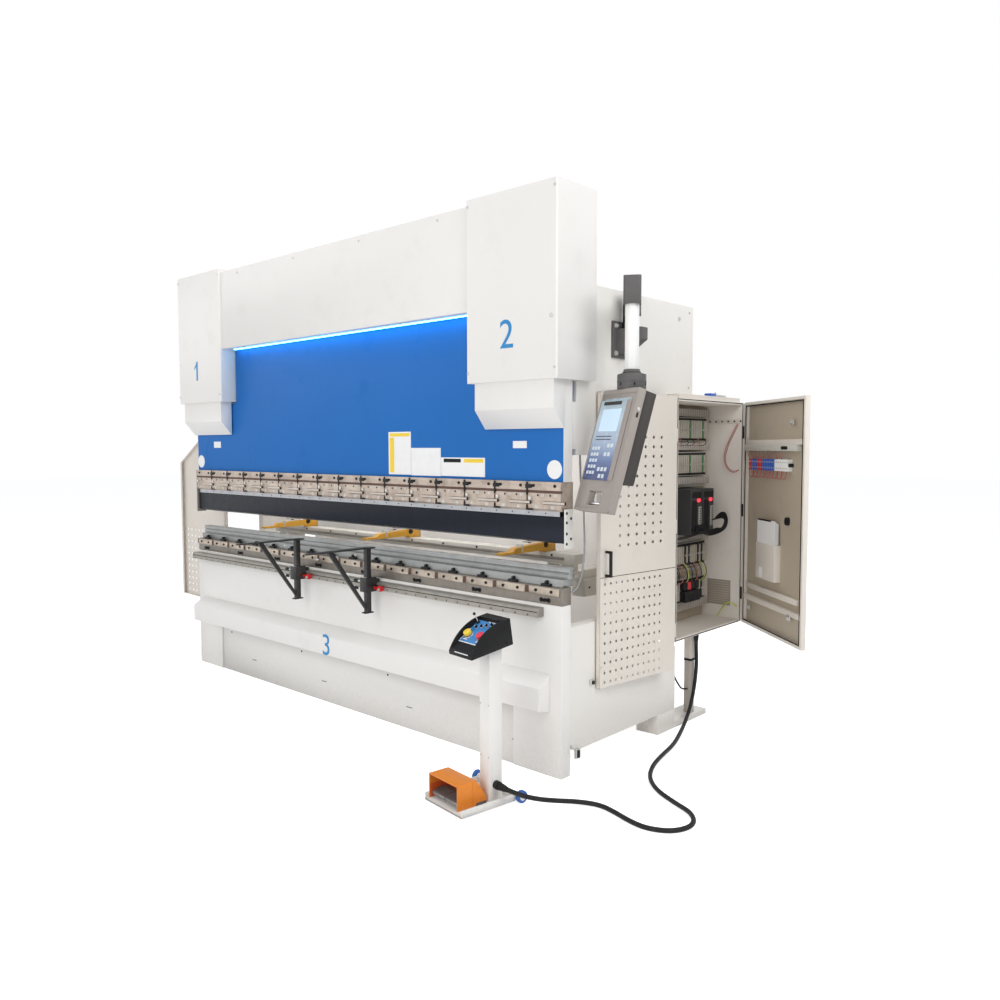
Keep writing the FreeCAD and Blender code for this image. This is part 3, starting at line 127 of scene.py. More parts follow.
def slab(outline, plane, start, end):
    """A flat outline pushed from start to end along the axis left out of its plane's name."""
    part = bmesh.new()
    across = "xyz".index(next(letter for letter in "xyz" if letter not in plane))
    corners = []
    for first, second in outline:
        place = Vector((0, 0, 0))
        place["xyz".index(plane[0])] = first
        place["xyz".index(plane[1])] = second
        place[across] = start
        corners.append(part.verts.new(place))
    face = part.faces.new(corners)
    pushed = bmesh.ops.extrude_face_region(part, geom=[face])
    moved = [item for item in pushed["geom"] if isinstance(item, bmesh.types.BMVert)]
    push = Vector((0, 0, 0))
    push[across] = end - start
    bmesh.ops.translate(part, vec=push, verts=moved)
    bmesh.ops.recalc_face_normals(part, faces=part.faces[:])
    return part


def perforated(along, level, columns, rows, pitch_along, pitch_level, hole, face, thick):
    """A sheet in the YZ plane with a grid of round holes. along and level give its first cell's corner."""
    part = bmesh.new()
    bmesh.ops.create_grid(part, x_segments=columns, y_segments=rows, size=0.5)
    wide, high = columns * pitch_along, rows * pitch_level
    bmesh.ops.scale(part, vec=(wide, high, 1), verts=part.verts[:])
    bmesh.ops.translate(part, vec=(along + wide / 2, level + high / 2, 0), verts=part.verts[:])
    cells = part.faces[:]
    bmesh.ops.inset_individual(part, faces=cells, thickness=(min(pitch_along, pitch_level) - hole) / 2.2)
    rims = list({edge for cell in cells for edge in cell.edges})
    bmesh.ops.subdivide_edges(part, edges=rims, cuts=2)
    for cell in cells:
        middle = cell.calc_center_bounds()
        for corner in cell.verts:
            corner.co = middle + (corner.co - middle).normalized() * hole / 2
    bmesh.ops.delete(part, geom=cells, context="FACES")
    upright = Matrix(((0, 0, 1, face), (1, 0, 0, 0), (0, 1, 0, 0), (0, 0, 0, 1)))
    bmesh.ops.transform(part, matrix=upright, verts=part.verts[:])
    bmesh.ops.recalc_face_normals(part, faces=part.faces[:])
    bmesh.ops.solidify(part, geom=part.faces[:], thickness=thick)
    bmesh.ops.recalc_face_normals(part, faces=part.faces[:])
    return part


def smooth_curve(name, route, radius, rounds, resolution):
    """A round line through control points, as a NURBS curve."""
    curve = bpy.data.curves.new(name, "CURVE")
    curve.dimensions = "3D"
    curve.bevel_depth = radius
    curve.bevel_resolution = rounds
    curve.resolution_u = resolution
    curve.use_fill_caps = True
    spline = curve.splines.new("NURBS")
    spline.points.add(len(route) - 1)
    for point, place in zip(spline.points, route):
        point.co = (*place, 1.0)
    spline.order_u = 3
    spline.use_endpoint_u = True
    return curve


def mesh_of(curve):
    """Turns a curve into a closed mesh and removes the curve."""
    holder = bpy.data.objects.new(curve.name, curve)
    sheet = bpy.data.meshes.new_from_object(holder)
    part = bmesh.new()
    part.from_mesh(sheet)
    bpy.data.objects.remove(holder)
    bpy.data.curves.remove(curve)
    bpy.data.meshes.remove(sheet)
    bmesh.ops.remove_doubles(part, verts=part.verts[:], dist=1e-6)
    bmesh.ops.recalc_face_normals(part, faces=part.faces[:])
    return part


def bent_rod(route, radius, sides=10, resolution=6):
    """A round rod along a smooth line through control points."""
    return mesh_of(smooth_curve("rod", route, radius, max(1, sides // 4), resolution))


def figure(text, height, thick):
    """A plain numeral in the XZ plane, standing proud towards -Y, with its middle at the origin."""
    curve = bpy.data.curves.new("figure", "FONT")
    curve.body = text
    curve.size = height * 1.4
    curve.align_x = "CENTER"
    curve.align_y = "CENTER"
    curve.extrude = thick / 2
    part = mesh_of(curve)
    upright = Matrix.Translation((0, -thick / 2, 0)) @ turned(x=90)
    bmesh.ops.transform(part, matrix=upright, verts=part.verts[:])
    return part


def screw(centre, radius, deep=0.004, axis="y", towards=-1):
    """A socket-head screw standing proud of a face, with its recess."""
    part = bmesh.new()
    bmesh.ops.create_cone(part, cap_ends=True, segments=12, radius1=radius, radius2=radius * 0.93,
                          depth=deep, matrix=Matrix.Translation((0, 0, deep / 2)))
    top = max(part.faces, key=lambda face: face.calc_center_median().z)
    bmesh.ops.inset_region(part, faces=[top], thickness=radius * 0.45)
    pushed = bmesh.ops.extrude_face_region(part, geom=[top])
    bmesh.ops.translate(part, vec=(0, 0, -deep * 0.6),
                        verts=[item for item in pushed["geom"] if isinstance(item, bmesh.types.BMVert)])
    if top.is_valid:
        bmesh.ops.delete(part, geom=[top], context="FACES")
    turn = AXES[axis] if towards > 0 else AXES[axis] @ turned(x=180)
    bmesh.ops.transform(part, matrix=Matrix.Translation(Vector(centre)) @ turn, verts=part.verts[:])
    bmesh.ops.recalc_face_normals(part, faces=part.faces[:])
    return part


class Piece:
    """One mesh object under construction: parts are added, then it is finished and set on a body."""

    def __init__(self, name, *materials):
        self.name = name
        self.materials = materials
        self.mesh = bmesh.new()

    def add(self, part, material=0, place=None):
        if place is not None:
            bmesh.ops.transform(part, matrix=place, verts=part.verts[:])
        for face in part.faces:
            face.material_index = material
        sheet = bpy.data.meshes.new("part")
        part.to_mesh(sheet)
        part.free()
        self.mesh.from_mesh(sheet)
        bpy.data.meshes.remove(sheet)

    def box(self, low, high, material=0, bevel=0.0, segments=2, place=None):
        self.add(cuboid(low, high, bevel, segments), material, place)

    def done(self, body, place=None, replaces=()):
        if place is not None:
            bmesh.ops.transform(self.mesh, matrix=place, verts=self.mesh.verts[:])
        data = bpy.data.meshes.new(self.name)
        self.mesh.to_mesh(data)
        self.mesh.free()
        for name in self.materials:
            data.materials.append(bpy.data.materials[name])
        piece = bpy.data.objects.new(self.name, data)
        bpy.context.scene.collection.objects.link(piece)
        data.shade_smooth()
        data.set_sharp_from_angle(angle=math.radians(40))
        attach(piece, body)
        if replaces:
            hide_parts(*replaces)
        return piece


# Shader node groups: what varies over a surface, shared by the finishes
def effect(name, values):
    """An empty group with a socket for each value, that gives a colour, a roughness and a height."""
    tree = bpy.data.node_groups.new(name, "ShaderNodeTree")
    for label, value in values.items():
        kind = "NodeSocketFloat" if isinstance(value, float) else "NodeSocketColor"
        socket = tree.interface.new_socket(name=label, in_out="INPUT", socket_type=kind)
        socket.default_value = value
    tree.interface.new_socket(name="Colour", in_out="OUTPUT", socket_type="NodeSocketColor")
    for label in ("Roughness", "Height"):
        tree.interface.new_socket(name=label, in_out="OUTPUT", socket_type="NodeSocketFloat")
    return tree, tree.nodes.new("NodeGroupInput").outputs, tree.nodes.new("NodeGroupOutput").inputs


def feed(tree, socket, value):
    """Links a socket to a node's output, or sets it to a plain number or colour."""
    if isinstance(value, bpy.types.NodeSocket):
        tree.links.new(value, socket)
    else:
        socket.default_value = value


def noise(tree, coordinates, scale, detail=2.0, roughness=0.5):
    made = tree.nodes.new("ShaderNodeTexNoise")
    for label, value in (("Vector", coordinates), ("Scale", scale), ("Detail", detail),
                         ("Roughness", roughness)):
        feed(tree, made.inputs[label], value)
    return made.outputs["Fac"]


def math_node(tree, operation, first, second, clamp=False):
    made = tree.nodes.new("ShaderNodeMath")
    made.operation = operation
    made.use_clamp = clamp
    feed(tree, made.inputs[0], first)
    feed(tree, made.inputs[1], second)
    return made.outputs[0]


def spread(tree, value, low, high, start=0.0, end=1.0):
    """Maps a value from low..high to start..end, held at both ends."""
    made = tree.nodes.new("ShaderNodeMapRange")
    for label, given in (("Value", value), ("From Min", low), ("From Max", high), ("To Min", start),
                         ("To Max", end)):
        feed(tree, made.inputs[label], given)
    return made.outputs["Result"]


def blend_colours(tree, factor, first, second, mode="MIX"):
    made = tree.nodes.new("ShaderNodeMix")
    made.data_type = "RGBA"
    made.blend_type = mode
    for number, value in ((0, factor), (6, first), (7, second)):
        feed(tree, made.inputs[number], value)
    return made.outputs[2]


def object_place(tree, scale=None):
    place = tree.nodes.new("ShaderNodeTexCoord").outputs["Object"]
    if not scale:
        return place
    mapping = tree.nodes.new("ShaderNodeMapping")
    mapping.inputs["Scale"].default_value = scale
    tree.links.new(place, mapping.inputs["Vector"])
    return mapping.outputs["Vector"]


def height_of(tree, place):
    level = tree.nodes.new("ShaderNodeSeparateXYZ")
    tree.links.new(place, level.inputs[0])
    return level.outputs["Z"]


def make_paint_film():
    """Sprayed paint on sheet metal: faint clouding, handling marks, dust near the floor, orange peel."""
    tree, given, made = effect("Paint Film", {
        "Colour": (0.8, 0.8, 0.8, 1), "Marks": (0.5, 0.48, 0.44, 1), "Roughness": 0.4, "Clouding": 0.05,
        "Handling": 0.1, "Dust": 0.3})
    place = object_place(tree)
    cloud = noise(tree, place, 1.3, 4.0)
    rub = spread(tree, noise(tree, place, 7.0, 7.0, 0.62), 0.56, 0.74)
    fine = noise(tree, place, 60.0, 4.0, 0.6)
    shade = spread(tree, cloud, 0.3, 0.7, math_node(tree, "SUBTRACT", 1.0, given["Clouding"]), 1.0)
    shaded = blend_colours(tree, 1.0, given["Colour"], shade, "MULTIPLY")
    handled = math_node(tree, "MULTIPLY", rub, given["Handling"], True)
    near_floor = spread(tree, height_of(tree, place), 0.0, 0.32, 1.0, 0.0)
    dusty = math_node(tree, "MULTIPLY", near_floor, math_node(tree, "MULTIPLY", fine, given["Dust"]))
    marked = blend_colours(tree, math_node(tree, "MAXIMUM", handled, dusty), shaded, given["Marks"])
    tree.links.new(marked, made["Colour"])
    dull = math_node(tree, "MULTIPLY", math_node(tree, "ADD", fine, rub), 0.16)
    tree.links.new(math_node(tree, "ADD", given["Roughness"], dull, True), made["Roughness"])
    peel = noise(tree, place, 420.0, 2.0)
    wave = math_node(tree, "MULTIPLY", noise(tree, place, 3.0, 1.0), 14.0)
    tree.links.new(math_node(tree, "ADD", peel, wave), made["Height"])


def make_ground_steel():
    """Ground tool steel: fine streaks along the bed, tarnish blotches and small nicks."""
    tree, given, made = effect("Ground Steel", {
        "Colour": (0.6, 0.6, 0.6, 1), "Tarnish": (0.3, 0.27, 0.24, 1), "Roughness": 0.35, "Streak": 0.25,
        "Blotch": 0.3})
    streak = noise(tree, object_place(tree, (2.2, 60, 620)), 1.0, 5.0, 0.6)
    place = object_place(tree)
    blotch = spread(tree, noise(tree, place, 16.0, 8.0, 0.66), 0.44, 0.72)
    nick = spread(tree, noise(tree, place, 130.0, 3.0, 0.7), 0.66, 0.72)
    shade = spread(tree, streak, 0.25, 0.75, math_node(tree, "SUBTRACT", 1.0, given["Streak"]), 1.0)
    bright = blend_colours(tree, 1.0, given["Colour"], shade, "MULTIPLY")
    spots = math_node(tree, "MULTIPLY", math_node(tree, "MAXIMUM", blotch, nick), given["Blotch"], True)
    tree.links.new(blend_colours(tree, spots, bright, given["Tarnish"]), made["Colour"])
    dull = math_node(tree, "MULTIPLY", math_node(tree, "ADD", streak, spots), 0.22)
    tree.links.new(math_node(tree, "ADD", given["Roughness"], dull, True), made["Roughness"])
    tree.links.new(math_node(tree, "SUBTRACT", streak, nick), made["Height"])


def make_grain():
    """Moulded plastic, rubber and textured castings: an even fine grain with slight soiling."""
    tree, given, made = effect("Moulded Grain", {
        "Colour": (0.1, 0.1, 0.1, 1), "Soil": (0.3, 0.29, 0.27, 1), "Roughness": 0.5, "Soiling": 0.15,
        "Grain Scale": 900.0})
    place = object_place(tree)
    grain = noise(tree, place, given["Grain Scale"])
    soil = spread(tree, noise(tree, place, 22.0, 6.0, 0.65), 0.48, 0.75)
    amount = math_node(tree, "MULTIPLY", soil, given["Soiling"], True)
    tree.links.new(blend_colours(tree, amount, given["Colour"], given["Soil"]), made["Colour"])
    dull = math_node(tree, "MULTIPLY", math_node(tree, "ADD", grain, soil), 0.12)
    tree.links.new(math_node(tree, "ADD", given["Roughness"], dull, True), made["Roughness"])
    tree.links.new(grain, made["Height"])


def finish(name, group, values, bump, deep=0.0004, **sockets):
    """A material: a Principled shader fed by one shared effect. Its values are in the group's order."""
    made = bpy.data.materials.new(name)
    made.use_nodes = True
    tree = made.node_tree
    shader = tree.nodes["Principled BSDF"]
    for label, value in sockets.items():
        shader.inputs[label.replace("_", " ")].default_value = value
    look = tree.nodes.new("ShaderNodeGroup")
    look.node_tree = bpy.data.node_groups[group]
    for socket, value in zip(look.inputs, values):
        socket.default_value = value
    raised = tree.nodes.new("ShaderNodeBump")
    raised.inputs["Strength"].default_value = bump
    raised.inputs["Distance"].default_value = deep
    tree.links.new(look.outputs["Colour"], shader.inputs["Base Color"])
    tree.links.new(look.outputs["Roughness"], shader.inputs["Roughness"])
    tree.links.new(look.outputs["Height"], raised.inputs["Height"])
    tree.links.new(raised.outputs["Normal"], shader.inputs["Normal"])
    return tree


def colour(red, green, blue):
    """An sRGB colour of 0 to 255 as the linear colour that a socket takes."""
    def linear(level):
        level /= 255
        return level / 12.92 if level <= 0.04045 else ((level + 0.055) / 1.055) ** 2.4
    return (linear(red), linear(green), linear(blue), 1.0)


# Each paint: colour, marks, roughness, clouding, handling, dust
PAINTS = {
    "cover white": (colour(236, 234, 231), colour(190, 184, 176), 0.30, 0.03, 0.10, 0.5),
    "frame white": (colour(234, 231, 226), colour(190, 182, 172), 0.34, 0.04, 0.14, 0.5),
    "cabinet beige": (colour(224, 217, 208), colour(160, 150, 136), 0.42, 0.04, 0.12, 0.3),
    # painted shade: cabinet inside is the cabinet's beige made darker and browner for the surfaces inside
    # the open cabinet and the door's inner face; some terminal blocks take it too
    "cabinet inside": (colour(184, 172, 154), colour(132, 120, 104), 0.45, 0.05, 0.16, 0.3),
    "ram blue": (colour(34, 108, 186), colour(28, 84, 150), 0.46, 0.05, 0.10, 0.0),
    "gauge grey": (colour(205, 203, 196), colour(120, 115, 108), 0.36, 0.05, 0.2, 0.0),
    "gauge yellow": (colour(214, 160, 52), colour(120, 84, 40), 0.36, 0.08, 0.45, 0.0),
    "tube white": (colour(240, 240, 238), colour(180, 178, 172), 0.22, 0.02, 0.08, 0.0),
    "panel taupe": (colour(158, 150, 144), colour(100, 94, 88), 0.48, 0.04, 0.14, 0.0),
    "panel dark": (colour(54, 50, 48), colour(110, 104, 98), 0.52, 0.05, 0.14, 0.0),
    "hood orange": (colour(236, 140, 38), colour(170, 96, 40), 0.34, 0.05, 0.22, 0.5),
    # painted shade: a darker, redder copy of the hood's orange for its inner walls
    "hood inside": (colour(224, 104, 48), colour(150, 60, 28), 0.40, 0.05, 0.25, 0.5),
    "arm black": (colour(34, 33, 33), colour(120, 116, 110), 0.40, 0.08, 0.22, 0.0),
    "casting grey": (colour(88, 86, 86), colour(130, 126, 120), 0.50, 0.06, 0.2, 0.0),
}
# Each steel: colour, tarnish, roughness, streak, blotch
STEELS = {
    "clamp steel": (colour(188, 174, 162), colour(104, 84, 70), 0.36, 0.18, 0.46),
    "lever steel": (colour(198, 188, 178), colour(120, 110, 100), 0.28, 0.16, 0.25),
    "punch blued": (colour(24, 29, 40), colour(14, 15, 20), 0.36, 0.30, 0.30),
    "adapter steel": (colour(178, 180, 184), colour(110, 104, 98), 0.32, 0.2, 0.25),
    "die steel": (colour(160, 162, 162), colour(104, 98, 90), 0.30, 0.28, 0.32),
    "base steel": (colour(138, 132, 124), colour(96, 88, 78), 0.34, 0.26, 0.38),
    "plate steel": (colour(190, 178, 164), colour(116, 98, 84), 0.36, 0.2, 0.42),
    "rail steel": (colour(158, 154, 147), colour(104, 98, 88), 0.38, 0.24, 0.34),
    "pedal casting": (colour(150, 146, 144), colour(96, 90, 86), 0.42, 0.2, 0.4),
    "zinc": (colour(206, 206, 204), colour(140, 136, 130), 0.28, 0.12, 0.2),
}
# Each moulding: colour, soil, roughness, soiling, grain
MOULDINGS = {
    "black plastic": (colour(26, 26, 28), colour(90, 88, 84), 0.42, 0.14, 900.0),
    "console black": (colour(12, 13, 14), colour(60, 58, 56), 0.50, 0.12, 700.0),
    "red plastic": (colour(206, 36, 40), colour(120, 30, 30), 0.28, 0.12, 900.0),
    "button red": (colour(226, 46, 66), colour(130, 30, 36), 0.24, 0.10, 900.0),
    "button yellow": (colour(244, 208, 60), colour(150, 120, 40), 0.26, 0.12, 900.0),
    "duct grey": (colour(182, 176, 168), colour(100, 98, 94), 0.50, 0.16, 600.0),
    "module grey": (colour(168, 166, 158), colour(130, 126, 118), 0.46, 0.14, 600.0),
    "module green": (colour(70, 120, 84), colour(50, 80, 60), 0.46, 0.14, 600.0),
    "module dark": (colour(52, 54, 56), colour(90, 88, 84), 0.46, 0.14, 600.0),
    "terminal blue": (colour(46, 96, 190), colour(40, 60, 100), 0.36, 0.12, 800.0),
    "terminal red": (colour(204, 52, 62), colour(110, 40, 40), 0.36, 0.12, 800.0),
    "wheel blue": (colour(38, 92, 168), colour(60, 70, 84), 0.46, 0.22, 500.0),
    "wheel white": (colour(226, 226, 226), colour(150, 146, 140), 0.40, 0.22, 500.0),
    "lead black": (colour(26, 26, 28), colour(96, 92, 86), 0.50, 0.24, 1400.0),
    "lead grey": (colour(150, 150, 148), colour(110, 106, 100), 0.46, 0.18, 1400.0),
    "wire red": (colour(178, 92, 86), colour(130, 60, 56), 0.40, 0.10, 900.0),
    "wire green": (colour(196, 204, 96), colour(130, 130, 60), 0.40, 0.10, 900.0),
    "paper white": (colour(240, 240, 240), colour(205, 202, 196), 0.55, 0.14, 300.0),
    "sign yellow": (colour(240, 206, 60), colour(170, 150, 60), 0.45, 0.10, 300.0),
    "figure blue": (colour(28, 132, 194), colour(30, 90, 140), 0.40, 0.06, 300.0),
    "label blue": (colour(52, 130, 196), colour(40, 90, 140), 0.30, 0.10, 300.0),
    "key pale": (colour(206, 216, 226), colour(150, 160, 172), 0.36, 0.08, 500.0),
    "seal black": (colour(16, 16, 17), colour(70, 68, 66), 0.62, 0.10, 700.0),
    "shadow brown": (colour(88, 62, 52), colour(50, 40, 36), 0.55, 0.3, 300.0),
}


# Each lit face: colour, strength
GLOWS = {
    "light strip": (colour(104, 206, 255), 7.0), "lamp red": (colour(255, 50, 70), 2.0),
    "screen glow": (colour(196, 220, 238), 0.22),
}
# The panel film's colours from the bottom to the top
FILM_COLOURS = [
    (0.0, colour(44, 62, 116)), (0.16, colour(90, 112, 160)), (0.40, colour(166, 184, 208)),
    (0.72, colour(192, 210, 222)), (1.0, colour(166, 186, 196)),
]


def make_finishes():
    make_paint_film()
    make_ground_steel()
    make_grain()
    for name, values in PAINTS.items():
        finish(name, "Paint Film", values, bump=0.12, deep=0.0003,
               Specular_IOR_Level=0.2 if name == "ram blue" else 0.45)
    for name, values in STEELS.items():
        finish(name, "Ground Steel", values, bump=0.18, deep=0.0003, Metallic=0.72)
    for name, values in MOULDINGS.items():
        finish(name, "Moulded Grain", values, bump=0.16, deep=0.0003,
               Specular_IOR_Level=0.22 if "black" in name else 0.5)
    finish("chrome", "Ground Steel", (colour(222, 222, 222), colour(150, 150, 150), 0.06, 0.05, 0.1),
           bump=0.04, deep=0.0002, Metallic=1.0)
    for name, (shade, strength) in GLOWS.items():
        finish(name, "Moulded Grain", (shade, shade, 0.3, 0.05, 400.0), bump=0.02,
               Emission_Color=shade, Emission_Strength=strength)
    make_panel_film()


def make_panel_film():
    """The pendant's printed front: pale blue at the top running to navy at the bottom."""
    soil = colour(180, 190, 200)
    tree = finish("panel film", "Moulded Grain", (soil, soil, 0.16, 0.05, 400.0), bump=0.03,
                  Coat_Weight=0.3)
    low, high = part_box("panel_glass")
    ramp = tree.nodes.new("ShaderNodeValToRGB")
    tree.links.new(spread(tree, height_of(tree, object_place(tree)), low.z, high.z), ramp.inputs["Fac"])
    stops = ramp.color_ramp.elements
    stops[0].color, stops[1].color = FILM_COLOURS[0][1], FILM_COLOURS[-1][1]
    for at, shade in FILM_COLOURS[1:-1]:
        stops.new(at).color = shade
    tree.links.new(ramp.outputs["Color"], tree.nodes["Group"].inputs["Colour"])


# The finish of each CAD node, with the width of its edge rounding in metres
NODE_FINISHES = {
    "side_frame_left": ("frame white", 0.002), "side_frame_right": ("frame white", 0.002),
    "rear_housing": ("cover white", 0.002), "bed_plate": ("cover white", 0.002),
    "bed_lower_cover": ("cover white", 0.001), "belly_cover": ("cover white", 0.004),
    "front_rail": ("rail steel", 0.0008), "rear_feet": ("frame white", 0.001),
    "cylinder_covers": ("cover white", 0.003), "beam_cover": ("cover white", 0.003),
    "ram_plate": ("ram blue", 0.0015), "tool_clamps": ("clamp steel", 0.0012),
    "clamp_levers": ("lever steel", 0.0015), "punch": ("punch blued", 0.0006),
    "crowning_base": ("base steel", 0.0015), "die_clamp_plates": ("plate steel", 0.001),
    "die_holder": ("die steel", 0.001), "v_die": ("die steel", 0.0006),
    "support_arm_left": ("arm black", 0.0008), "support_arm_right": ("arm black", 0.0008),
    "support_knob_left": ("red plastic", 0.001), "support_knob_right": ("red plastic", 0.001),
    "gauge_rails": ("gauge grey", 0.001), "gauge_beam": ("gauge grey", 0.001),
    "gauge_fingers": ("gauge yellow", 0.001), "guard_door_left": ("cabinet beige", 0.001),
    "guard_door_right": ("cabinet beige", 0.001), "guard_handle_left": ("black plastic", 0.003),
    "guard_handle_right": ("black plastic", 0.003), "guard_hinges": ("cabinet beige", 0.0006),
    "cabinet_shell": ("cabinet beige", 0.0015), "cabinet_door": ("cabinet beige", 0.001),
    "cabinet_hinges": ("black plastic", 0.0006), "cable_ducts": ("duct grey", 0.001),
    "control_modules": ("module grey", 0.001), "servo_drives": ("module dark", 0.0015),
    "pendant_bracket": ("casting grey", 0.002), "pendant_tubes": ("tube white", 0.0002),
    "pendant_elbows": ("casting grey", 0.012), "pendant_collar": ("casting grey", 0.003),
    "panel_housing": ("panel taupe", 0.003), "panel_rear_box": ("panel dark", 0.004),
    "panel_glass": ("panel film", 0.0005), "panel_hand_bar": ("chrome", 0.0002),
    "pedestal_stand": ("cover white", 0.001), "console_housing": ("console black", 0.003),
    "push_button_left": ("button yellow", 0.002), "push_button_right": ("button red", 0.002),
    "pedal_hood": ("hood orange", 0.002), "pedal_left": ("pedal casting", 0.001),
    "pedal_right": ("pedal casting", 0.001), "wheel_left": ("wheel blue", 0.002),
    "wheel_right": ("wheel blue", 0.002), "lead_glands": ("black plastic", 0.001),
}


def soften(piece, width):
    """Welds a node's loose triangles and rounds its edges, so that they catch the light."""
    weld = piece.modifiers.new("Weld", "WELD")
    weld.merge_threshold = 0.00002
    bevel = piece.modifiers.new("Edge Rounding", "BEVEL")
    bevel.width = width
    bevel.segments = 2
    bevel.limit_method = "ANGLE"
    bevel.angle_limit = math.radians(32)
    bevel.harden_normals = True
    piece.data.shade_smooth()
    piece.data.set_sharp_from_angle(angle=math.radians(32))


def lay_lead(name, node, route, diameter, material):
    """A free lead on one smooth spline through its route, in millimetres."""
    points = [tuple(value / 1000 for value in place) for place in route]
    curve = smooth_curve(name, points, diameter / 2, 5, 8)
    lead = bpy.data.objects.new(name, curve)
    bpy.context.scene.collection.objects.link(lead)
    curve.materials.append(bpy.data.materials[material])
    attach(lead, "frame")
    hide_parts(node)


# How far each hinged piece stands turned at rest, in degrees
DRAWN_AT = {"guard_right_hinge": -6.925, "guard_left_hinge": -93, "cabinet_door_hinge": 50}


def joint_place(name, level):
    """The frame of a hinged piece as it was drawn: at its hinge, turned about the vertical."""
    at = Vector(JOINTS[name]["pos_m"])
    at.z = level
    return Matrix.Translation(at) @ turned(z=DRAWN_AT[name])


# The pedestal's own frame: at its pillar's foot, turned on the floor
STAND = Matrix.Translation((1.517, -0.385, 0)) @ turned(z=-8)
CONSOLE_LEVEL = 0.664
CONSOLE_TILT = 9
CLAMP_PITCH = 0.2


class BrakeSizes(bpy.types.PropertyGroup):
    """Sizes of the fine pieces."""

    clamp_screw: FloatProperty(name="Clamp screw", description="Radius of a clamp's screw heads",
                               default=0.0075, unit="LENGTH")
    plate_screw: FloatProperty(name="Plate screw", description="Radius of the die plates' screw heads",
                               default=0.0075, unit="LENGTH")
    guard_hole: FloatProperty(name="Guard hole", description="Diameter of the guards' perforations",
                              default=0.016, unit="LENGTH")
    guard_pitch: FloatProperty(name="Guard pitch", description="Height of one row of perforations",
                               default=0.0463, unit="LENGTH")
    light_strength: FloatProperty(name="Studio light", description="Strength of the lamps",
                                  default=1.0, min=0.0)
    clamps: IntProperty(name="Clamps", description="Tool clamps along the ram", default=16, min=1)
    figure_height: FloatProperty(name="Figure height", description="Height of the numerals",
                                 default=0.13, unit="LENGTH")


class BrakeColours(bpy.types.PropertyGroup):
    """Colours of the stage."""

    floor: FloatVectorProperty(name="Floor", description="Colour of the floor", subtype="COLOR",
                               size=4, default=(0.9, 0.9, 0.9, 1.0), min=0.0, max=1.0)
    sky: FloatVectorProperty(name="Surround", description="Colour of the light all round",
                             subtype="COLOR", size=4, default=(0.96, 0.98, 1.0, 1.0), min=0.0, max=1.0)


# The photograph's viewpoint
CAMERA_AT = (3.9218, -2.9608, 1.4925)
CAMERA_YAW = 42.38
CAMERA_PITCH = -3.58
CAMERA_ROLL = -0.09
CAMERA_LENS = 30.76


class BRAKE_OT_camera(bpy.types.Operator):
    """Sets the camera at the photograph's viewpoint"""

    bl_idname = "brake.camera"
    bl_label = "Camera"

    def execute(self, context):
        data = bpy.data.cameras.new("camera")
        data.lens = CAMERA_LENS
        data.sensor_width = 36.0
        data.clip_end = 200.0
        camera = bpy.data.objects.new("camera", data)
        context.scene.collection.objects.link(camera)
        camera.location = CAMERA_AT
        aim = turned(90 + CAMERA_PITCH, 0, CAMERA_YAW) @ turned(z=CAMERA_ROLL)
        camera.rotation_euler = aim.to_euler()
        context.scene.camera = camera
        return {"FINISHED"}


PEDESTAL_ROUTE = [
    (1573.4, -392.9, 80), (1642.8, -402.7, 80), (1704, -385, 70), (1748, -335, 54), (1778, -255, 32),
    (1820, -170, 14), (1900, -130, 10), (1990, -150, 10), (2075, -178, 10), (2165, -188, 10),
    (2255, -140, 10), (2285, -40, 10), (2225, 52, 10), (2110, 98, 10), (1985, 160, 10), (1885, 260, 10),
    (1818, 400, 10), (1780, 550, 10), (1748, 700, 10), (1690, 860, 12), (1640, 1000, 30), (1612, 1105, 90),
    (1600, 1165, 190), (1603, 1178, 300), (1600, 1175, 400), (1600, 1175, 472.9),
]
SENSOR_ROUTE = [
    (1570, 985, 472.7), (1570, 983, 428), (1570, 968, 372), (1570, 974, 318), (1570, 998, 262),
    (1570, 1038, 214), (1564, 1093, 168), (1562, 1149.4, 162),
]
ENCODER_ROUTE = [
    (1590, 130, 1453.7), (1590, 132, 1400), (1592, 134, 1340), (1592, 142, 1280), (1592, 158, 1220),
    (1592, 160, 1160), (1592, 164, 1100), (1592, 165, 1040), (1592, 161, 980), (1592, 150, 925),
    (1592, 132, 880), (1589, 101, 840), (1584, 55.5, 833),
]


class BRAKE_OT_leads(bpy.types.Operator):
    """Lays the pedestal's floor lead and the two thin leads, with their strain reliefs"""

    bl_idname = "brake.leads"
    bl_label = "Leads"

    def execute(self, context):
        relief = Piece("pedestal_strain_relief", "black plastic")
        relief.add(drum((0.057, 0, 0.08), "x", 0.0155, 0.05, 20, 0.001, 0.0112), place=STAND)
        for number in range(4):
            along, radius = 0.064 + 0.009 * number, 0.0150 - 0.0008 * number
            relief.add(ring((along, 0, 0.08), "x", radius, 0.0016, 20, 6), place=STAND)
        reliefs = [relief.done("frame")]
        cabinet = Piece("cabinet_strain_relief", "black plastic")
        cabinet.add(drum((1.6, 1.175, 0.4725), "z", 0.0155, 0.045, 20, 0.001, 0.0112),
                    place=Matrix.Translation((0, 0, 0.945)) @ Matrix.Scale(-1, 4, (0, 0, 1)))
        bmesh.ops.recalc_face_normals(cabinet.mesh, faces=cabinet.mesh.faces[:])
        reliefs.append(cabinet.done("frame"))
        lay_lead("floor_lead", "pedestal_lead", PEDESTAL_ROUTE, 0.020, "lead black")
        lay_lead("switch_lead", "sensor_lead", SENSOR_ROUTE, 0.009, "lead black")
        lay_lead("scale_lead", "encoder_lead", ENCODER_ROUTE, 0.009, "lead grey")
        return {"FINISHED"}


